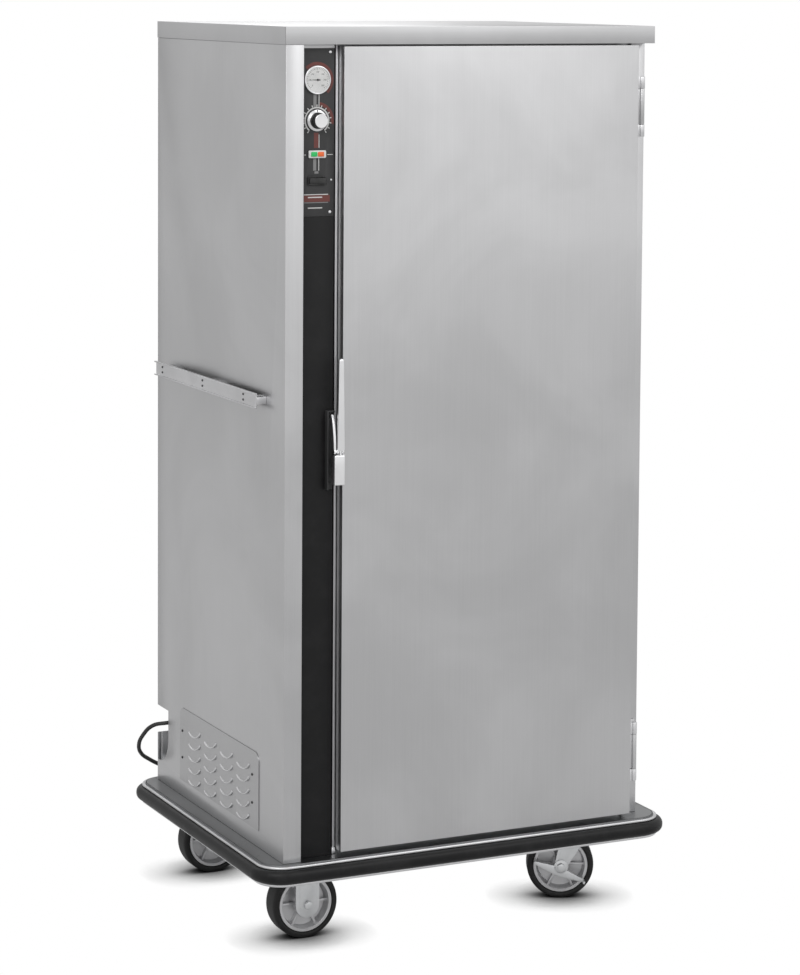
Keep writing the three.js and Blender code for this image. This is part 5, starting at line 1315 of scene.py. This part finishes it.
    def lights(self):
        low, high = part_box("indicator_housing")
        bm = bmesh.new()
        corner_steps = 6
        outline = [
            (low.x, high.y, low.z), (high.x, high.y, low.z), (high.x, high.y, high.z), (low.x, high.y, high.z)
        ]
        plate(bm, outline, (0, low.y - high.y, 0), [0.0025] * 4, corner_steps, 0.0006)
        settle("light_bezel", bm, "bezel", "cabinet", ["indicator_housing"])
        for node, finish in (("green_lens", "green"), ("amber_lens", "amber")):
            low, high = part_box(node)
            bm = bmesh.new()
            slab(bm, (low.x, low.y, low.z), (high.x, high.y, high.z), 0.0016, 4)
            settle(node + "_cap", bm, finish, "cabinet", [node])

    def switch(self):
        low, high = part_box("rocker_frame")
        bm = bmesh.new()
        rim = 0.003
        corner = 0.002
        section = [(0, high.y), (0, low.y + 0.0006), (-0.0008, low.y), (-rim, low.y + 0.0004), (-rim, high.y)]
        verts = round_frame(bm, (low.x, low.z), (high.x, high.z), corner + 0.0012, section, 5)
        stand = Matrix(((1, 0, 0, 0), (0, 0, 1, 0), (0, 1, 0, 0), (0, 0, 0, 1)))
        bmesh.ops.transform(bm, matrix=stand, verts=verts)
        bmesh.ops.recalc_face_normals(bm, faces=bm.faces)
        settle("switch_frame", bm, "plastic", "cabinet", ["rocker_frame"])
        softened("rocker_switch", "plastic", "power_key", 0.0005, 3)


# Side fittings


class MakeLouvres(bpy.types.Operator):
    """Makes the louvre plate with its pressed tongues and its screws"""

    bl_idname = "cabinet.make_louvres"
    bl_label = "Louvre plate"

    # Millimetres from the plate's front and top edges
    first_column, column_pitch, columns = 88, 95.2, 4
    first_row, row_pitch, rows = 33.5, 28, 5

    def execute(self, context):
        low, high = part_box("louvre_panel")
        skin = at(-0.3, 0, 0).x
        sheet = 0.0012
        bm = bmesh.new()
        corner = 0.020
        points = [
            bm.verts.new((skin, y, z))
            for y, z in ((low.y, low.z), (high.y, low.z), (high.y, high.z), (low.y, high.z))
        ]
        face = bm.faces.new(points)
        bmesh.ops.bevel(
            bm, geom=[points[2], points[3]], offset=corner, segments=10, profile=0.5, affect="VERTICES",
            material=-1,
        )
        bmesh.ops.delete(bm, geom=list(bm.faces), context="FACES_ONLY")
        heads = []
        for column in range(self.columns):
            for row in range(self.rows):
                along = low.y + (self.first_column + self.column_pitch * column) * MM
                head = high.z - (self.first_row + self.row_pitch * row) * MM
                heads.append((along, head))
                before = set(bm.verts)
                half = bmesh.ops.create_circle(bm, cap_ends=False, segments=28, radius=1.0)["verts"]
                bmesh.ops.rotate(bm, cent=(0, 0, 0), matrix=Matrix.Rotation(math.pi / 2, 3, "X"), verts=half)
                bmesh.ops.rotate(bm, cent=(0, 0, 0), matrix=Matrix.Rotation(math.pi / 2, 3, "Z"), verts=half)
                bmesh.ops.scale(bm, vec=(1, 0.028, 0.013), verts=half)
                upper = [vert for vert in half if vert.co.z > 1e-5]
                bmesh.ops.delete(bm, geom=upper, context="VERTS")
                rest = fresh(bm, before)
                ends = [vert for vert in rest if len(vert.link_edges) == 1]
                bm.edges.new(ends)
                bmesh.ops.translate(bm, vec=(skin, along, head), verts=rest)
        bmesh.ops.triangle_fill(
            bm, use_beauty=True, use_dissolve=False, edges=list(bm.edges), normal=(-1, 0, 0)
        )
        made = bmesh.ops.extrude_face_region(bm, geom=list(bm.faces))["geom"]
        bmesh.ops.translate(
            bm, vec=(-sheet, 0, 0), verts=[item for item in made if isinstance(item, bmesh.types.BMVert)]
        )
        bmesh.ops.recalc_face_normals(bm, faces=bm.faces)
        rims = bmesh.new()
        for along, head in heads:
            self.tongue(bm, skin, along, head)
            self.rim(rims, skin, along, head)
        settle("louvre_plate", bm, "louvre", "cabinet", ["louvre_panel"], 40)
        # The rims take the lighter steel: a painted highlight along each tongue's lower edge.
        settle("louvre_rims", rims, "rim")
        bm = bmesh.new()
        for y in (580, 168):
            for z in (359.5, 297.5):
                screw(bm, at(-1.5, y, z), (-1, 0, 0), 0.0032)
        settle("louvre_screws", bm, "print_black")
        return {"FINISHED"}

    def rim(self, bm, skin, along, head):
        """The rolled edge round the foot of a tongue."""
        before = set(bm.verts)
        start = math.radians(42)
        ring = bmesh.ops.create_circle(bm, cap_ends=False, segments=8, radius=1.0)["verts"]
        bmesh.ops.scale(bm, vec=(0.0026, 0.09, 1), verts=ring)
        bmesh.ops.translate(bm, vec=(0, 1, 0), verts=ring)
        bmesh.ops.rotate(bm, cent=(0, 0, 0), matrix=Matrix.Rotation(-start, 3, "X"), verts=ring)
        edges = list({edge for vert in ring for edge in vert.link_edges})
        bmesh.ops.spin(
            bm, geom=ring + edges, cent=(0, 0, 0), axis=(1, 0, 0), angle=start - math.pi, steps=20,
            use_merge=False, use_duplicate=False
        )
        verts = fresh(bm, before)
        for vert in verts:
            vert.co.x -= 0.0008 + 0.0040 * max(-vert.co.z, 0.0)
        bmesh.ops.scale(bm, vec=(1, 0.0352, 0.0176), verts=verts)
        ends = {edge for vert in verts for edge in vert.link_edges if len(edge.link_faces) == 1}
        bmesh.ops.holes_fill(bm, edges=list(ends), sides=0)
        bmesh.ops.recalc_face_normals(bm, faces=faces_of(verts))
        bmesh.ops.translate(bm, vec=(skin, along, head + 0.0003), verts=verts)

    def tongue(self, bm, skin, along, head):
        """Half an oval that bends out from its straight top edge into a raised rim."""
        before = set(bm.verts)
        chain = [bm.verts.new((0, step / 8, 0)) for step in range(9)]
        edges = [bm.edges.new(pair) for pair in zip(chain, chain[1:])]
        bmesh.ops.spin(
            bm, geom=chain + edges, cent=(0, 0, 0), axis=(1, 0, 0), angle=-math.pi, steps=24, use_merge=False,
            use_duplicate=False
        )
        bmesh.ops.remove_doubles(bm, verts=fresh(bm, before), dist=1e-6)
        for vert in fresh(bm, before):
            out = math.hypot(vert.co.y, vert.co.z)
            vert.co.x = -0.0040 * out * out * max(-vert.co.z, 0.0)
        bmesh.ops.scale(bm, vec=(1, 0.0367, 0.0187), verts=fresh(bm, before))
        bmesh.ops.recalc_face_normals(bm, faces=faces_of(fresh(bm, before)))
        made = bmesh.ops.extrude_face_region(bm, geom=faces_of(fresh(bm, before)))["geom"]
        bmesh.ops.translate(
            bm, vec=(-0.0012, 0, 0), verts=[item for item in made if isinstance(item, bmesh.types.BMVert)]
        )
        verts = fresh(bm, before)
        bmesh.ops.recalc_face_normals(bm, faces=faces_of(verts))
        bmesh.ops.translate(bm, vec=(skin, along, head + 0.0003), verts=verts)


class MakeRails(bpy.types.Operator):
    """Makes the push rails' rounded edges and their screws"""

    bl_idname = "cabinet.make_rails"
    bl_label = "Push rails"

    # Millimetres: how far the rails stand off the sides, and the body's width
    stand_off = 21
    body_width = 888

    def execute(self, context):
        for node, side in (("left_rail", -1), ("right_rail", 1)):
            softened(node, "extruded", soft=0.0007)
            low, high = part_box(node)
            middle = (low.z + high.z) / 2
            face = (low.x if side < 0 else high.x) - side * 0.005
            bm = bmesh.new()
            for y in (170, 405, 650):
                for step in (-6, 6):
                    point = Vector((face, at(0, y, 0).y, middle + step * MM))
                    screw(bm, point, (side, 0, 0), 0.0027)
            settle(node + "_screws", bm, "overlay")
            # A dark sheet on the rail's inner face, between its brackets: painted shade in the gap between
            # the rail and the side.
            bm = bmesh.new()
            wall = at(-self.stand_off if side < 0 else self.body_width + self.stand_off, 0, 0).x
            centre = (low.y + high.y) / 2
            for start, end in ((low.y + 0.033, centre - 0.018), (centre + 0.018, high.y - 0.048)):
                near, far = sorted((wall, wall - side * 0.001))
                slab(bm, (near, start, low.z + 0.001), (far, end, high.z - 0.001), 0.0003)
            settle(node + "_painted_shade", bm, "black_sheet")
        return {"FINISHED"}


# Casters


class MakeCasters(bpy.types.Operator):
    """Makes the two rigid and two swivel casters"""

    bl_idname = "cabinet.make_casters"
    bl_label = "Casters"

    def execute(self, context):
        for place in ("front", "rear"):
            node = "rigid_caster_" + place
            hub = self.middle(node + "_hub")
            spot = Matrix.Translation((hub.x, hub.y, 0))
            self.rigid_fork(place, spot)
            self.wheel("rigid_" + place, Matrix.Translation(hub), "rigid_wheel_" + place, node)
            node = "swivel_caster_" + place
            hub = self.middle(node + "_hub")
            pivot = self.middle(node + "_plate")
            spot = Matrix.Translation((pivot.x, pivot.y, 0))
            self.top_plate(place, spot)
            turn = Matrix.Rotation(math.atan2(pivot.y - hub.y, pivot.x - hub.x), 4, "Z")
            self.swivel_fork(place, spot @ turn)
            wheel = Matrix.Translation(hub) @ turn
            self.wheel("swivel_" + place, wheel, "swivel_wheel_" + place, node)
            self.brake(place, wheel)
        return {"FINISHED"}

    def middle(self, node):
        low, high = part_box(node)
        return (low + high) / 2

    def wheel(self, name, place, body, node):
        """A wheel whose axle runs along the place's Y."""
        steps = looks("caster").steps
        radius = looks("caster").radius / MM
        upright = place @ Matrix.Rotation(math.pi / 2, 4, "X")
        bm = bmesh.new()
        half = [
            (62.3, 21), (63.5, 24), (66, 25), (70, 25), (72.4, 24.3), (74.2, 22.6), (75.3, 19.8),
            (75.8, 16.5), (radius, 13),
        ]
        tyre = [(out, -up) for out, up in half] + half[::-1]
        turned(bm, [(out * MM, up * MM) for out, up in tyre], upright, steps)
        settle(name + "_tread", bm, "tyre", body, [node + "_tyre"], 30)

        bm = bmesh.new()
        half = [
            (62, 22.2), (61.4, 23), (55.6, 23), (54.8, 22.2), (54.2, 8), (51, 2.8), (22, 2.8), (19.4, 6),
            (19, 25.5), (17.5, 27), (6.6, 27),
        ]
        hub = [(out, -up) for out, up in half[::-1]] + half
        turned(bm, [(out * MM, up * MM) for out, up in hub], upright, steps)
        for rib in range(6):
            for side in (-1, 1):
                web = slab(
                    bm, way(17, -3, 1.5 * side if side > 0 else -13), way(58, 3, 13 if side > 0 else -1.5),
                    0.0012,
                )
                turn = upright @ Matrix.Rotation(math.radians(60 * rib), 4, "Z")
                bmesh.ops.transform(bm, matrix=turn, verts=web)
        settle(name + "_core", bm, "hub", body, [node + "_hub"], 35)

    def axle(self, bm, place, reach):
        for side in (-1, 1):
            before = set(bm.verts)
            bar(bm, way(0, side * (reach - 7), 0), way(0, side * reach, 0), 0.0100, 6, soft=0.0012)
            bar(bm, way(0, side * (reach - 9), 0), way(0, side * (reach - 7), 0), 0.0125, 28, soft=0.0004)
            self.move_new(bm, before, place)
        before = set(bm.verts)
        bar(bm, way(0, 3 - reach, 0), way(0, reach - 3, 0), 0.006, 24)
        self.move_new(bm, before, place)

    def move_new(self, bm, before, place):
        bmesh.ops.transform(bm, matrix=place, verts=fresh(bm, before))

    def leg(self, bm, outline, rounds, y0, y1):
        """A pressed leg with a raised rim, between two depths."""
        points = [(x * MM, y0 * MM, z * MM) for x, z in outline]
        plate(bm, points, (0, (y1 - y0) * MM, 0), [radius * MM for radius in rounds], 10, 0.0011)

    def rigid_fork(self, place, spot):
        bm = bmesh.new()
        slab(bm, way(-52, -47, 179), way(52, 47, 184), 0.0012)
        for side in (-1, 1):
            outline = [(-28, 180), (-28, 48), (28, 48), (28, 180)]
            self.leg(bm, outline, [0, 27.6, 27.6, 0], side * 28.5, side * 33.5)
            inner = [(-19, 172), (-19, 60), (19, 60), (19, 172)]
            self.leg(bm, inner, [0, 18.6, 18.6, 0], side * 33.4, side * 34.2)
        for x in (-26, 26):
            slab(bm, way(x - 1.8, -33, 166), way(x + 1.8, 33, 179.5), 0.001)
        self.axle(bm, Matrix.Translation(way(0, 0, 76)), 40.5)
        bmesh.ops.transform(bm, matrix=spot, verts=bm.verts)
        settle("rigid_fork_" + place, bm, "zinc", "cabinet", ["rigid_caster_" + place + "_fork"], 35)

    def top_plate(self, place, spot):
        bm = bmesh.new()
        slab(bm, way(-52, -47, 179), way(52, 47, 184), 0.0012)
        race = [
            (0, 156), (6, 156), (6, 166.3), (33, 166.3), (34, 167.2), (34, 171), (32.6, 173), (34, 175),
            (34, 179.5), (0, 179.5),
        ]
        turned(bm, [(out * MM, up * MM) for out, up in race], Matrix.Identity(4), 48)
        bmesh.ops.transform(bm, matrix=spot, verts=bm.verts)
        settle("swivel_plate_" + place, bm, "zinc", "cabinet", ["swivel_caster_" + place + "_plate"], 35)

    def swivel_fork(self, place, swing):
        bm = bmesh.new()
        crown = [(6.5, 161), (33, 161), (34, 162), (34, 165), (33, 166), (6.5, 166)]
        turned(bm, [(out * MM, up * MM) for out, up in crown], Matrix.Identity(4), 48)
        for side in (-1, 1):
            low, high = sorted((side * 23.5, side * 33.5))
            slab(bm, way(-34, low, 161), way(34, high, 166), 0.0012)
            outline = [(-34, 163.5), (-53, 76), (-53, 61), (-23, 61), (-23, 76), (34, 163.5)]
            self.leg(bm, outline, [0, 0, 14.6, 14.6, 0, 0], side * 28.5, side * 33.5)
            raised = [(-26, 155), (-44, 84), (-44, 68), (-31, 68), (-31, 84), (16, 155)]
            self.leg(bm, raised, [6, 6, 6, 6, 6, 6], side * 33.4, side * 34.3)
        self.axle(bm, Matrix.Translation(way(-38, 0, 76)), 45.1)
        bmesh.ops.transform(bm, matrix=swing, verts=bm.verts)
        settle(
            "swivel_yoke_" + place, bm, "zinc", "swivel_" + place, ["swivel_caster_" + place + "_fork"], 35
        )

    def brake(self, place, hub):
        bm = bmesh.new()
        y0, y1 = -37.8, -33.8
        outline = [(-62, -9), (-10, -2), (10, -2), (62, -9), (62, -15), (12, -22), (-12, -22), (-62, -15)]
        plate(
            bm, [way(x, y1, z) for x, z in outline], way(0, y0 - y1, 0),
            [2 * MM, 8 * MM, 8 * MM, 2 * MM, 2 * MM, 8 * MM, 8 * MM, 2 * MM], 6, 0.0009,
        )
        bar(bm, way(0, y1, 0), way(0, y0, 0), 0.0160, 40, soft=0.0008)
        slab(bm, way(58, y0 - 16, -15), way(62, y1, -9), 0.0009)
        slab(bm, way(-62, y0 - 3, -14), way(-58, y1, -10), 0.0009)
        turn = hub @ Matrix.Rotation(math.radians(21), 4, "Y")
        bmesh.ops.transform(bm, matrix=turn, verts=bm.verts)
        settle(
            "brake_pedal_" + place, bm, "zinc", "brake_" + place, ["swivel_caster_" + place + "_brake"], 35
        )


# Inside


class MakeInside(bpy.types.Operator):
    """Makes the cavity, its shelves, the heating rod and the shield"""

    bl_idname = "cabinet.make_inside"
    bl_label = "Inside"

    def execute(self, context):
        softened("cavity_liner", "inner", soft=0.0004)
        softened("heat_shield", "inner", soft=0.0004)
        for number in (1, 2, 3):
            self.shelf("wire_shelf_" + str(number))
        self.heater()
        return {"FINISHED"}

    def shelf(self, node):
        low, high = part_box(node)
        level = high.z - 0.005
        bm = bmesh.new()
        x0, x1 = low.x + 0.004, high.x - 0.004
        y0, y1 = low.y + 0.002, high.y - 0.002
        rod = [
            (0.004 * math.cos(math.pi * step / 8), level + 0.004 * math.sin(math.pi * step / 8))
            for step in range(16)
        ]
        round_frame(bm, (x0, y0 + 0.002), (x1, y1 - 0.002), 0.008, rod, 6)
        for wire in range(1, 20):
            x = x0 + (x1 - x0) * wire / 20
            bar(bm, (x, y0 + 0.002, level + 0.0025), (x, y1 - 0.002, level + 0.0025), 0.0025, 10)
        for rib in (1, 2):
            y = y0 + (y1 - y0) * rib / 3
            bar(bm, (x0, y, level - 0.0028), (x1, y, level - 0.0028), 0.0025, 10)
        settle(node + "_wires", bm, "wire", "cabinet", [node], 50)

    def heater(self):
        low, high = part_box("heater_element")
        radius = 0.004
        level = at(0, 0, 275.7).z
        x0, x1, y0, y1 = at(276.5, 0, 0).x, at(708.5, 0, 0).x, at(0, 184.3, 0).y, at(0, 600, 0).y
        pitch = (x1 - x0) / 3
        bm = bmesh.new()
        ring = [Vector((x0 + radius * math.cos(math.pi * step / 6), y1,
                level + radius * math.sin(math.pi * step / 6))) for step in range(12)]
        run = Run(bm, ring)
        for number in range(4):
            down = number % 2 == 0
            run.go((0, y0 - y1 if down else y1 - y0, 0))
            if number < 3:
                centre = (x0 + pitch * (number + 0.5), y0 if down else y1, level)
                run.bend(centre, (0, 0, 1 if down else -1), math.pi, 14)
        run.close(True)
        for x in (x0, x1):
            for y in (y0, y1):
                slab(bm, (x - 0.005, y - 0.005, low.z), (x + 0.005, y + 0.005, level), 0.0008)
        settle("heating_rod", bm, "inner", "cabinet", ["heater_element"], 50)


OPERATORS = [
    MakeStage,
    MakeCord,
    MakePlatform,
    MakeBody,
    MakeDoor,
    MakeHinges,
    MakeLatch,
    MakeControls,
    MakeLouvres,
    MakeRails,
    MakeCasters,
    MakeInside,
]


class CabinetPanel(bpy.types.Panel):
    """Lists the pieces of the cabinet and their settings"""

    bl_idname = "VIEW3D_PT_cabinet"
    bl_label = "Cabinet"
    bl_space_type = "VIEW_3D"
    bl_region_type = "UI"
    bl_category = "Cabinet"

    def draw(self, context):
        for operator in OPERATORS:
            self.layout.operator(operator.bl_idname)
        for group, settings in LOOKS.items():
            box = self.layout.box()
            box.label(text=group.capitalize())
            for name in settings.__annotations__:
                box.prop(looks(group), name)


def register():
    for settings in LOOKS.values():
        bpy.utils.register_class(settings)
    for operator in OPERATORS:
        bpy.utils.register_class(operator)
    bpy.utils.register_class(CabinetPanel)
    for group, settings in LOOKS.items():
        setattr(bpy.types.Scene, "cabinet_" + group, PointerProperty(type=settings))


def unregister():
    for group in LOOKS:
        delattr(bpy.types.Scene, "cabinet_" + group)
    bpy.utils.unregister_class(CabinetPanel)
    for operator in reversed(OPERATORS):
        bpy.utils.unregister_class(operator)
    for settings in reversed(list(LOOKS.values())):
        bpy.utils.unregister_class(settings)


def main():
    register()
    bpy.ops.cabinet.make_stage()
    bpy.ops.cabinet.make_cord()
    bpy.ops.cabinet.make_platform()
    bpy.ops.cabinet.make_body()
    bpy.ops.cabinet.make_door()
    bpy.ops.cabinet.make_hinges()
    bpy.ops.cabinet.make_latch()
    bpy.ops.cabinet.make_controls()
    bpy.ops.cabinet.make_louvres()
    bpy.ops.cabinet.make_rails()
    bpy.ops.cabinet.make_casters()
    bpy.ops.cabinet.make_inside()


if __name__ == "__main__":
    main()
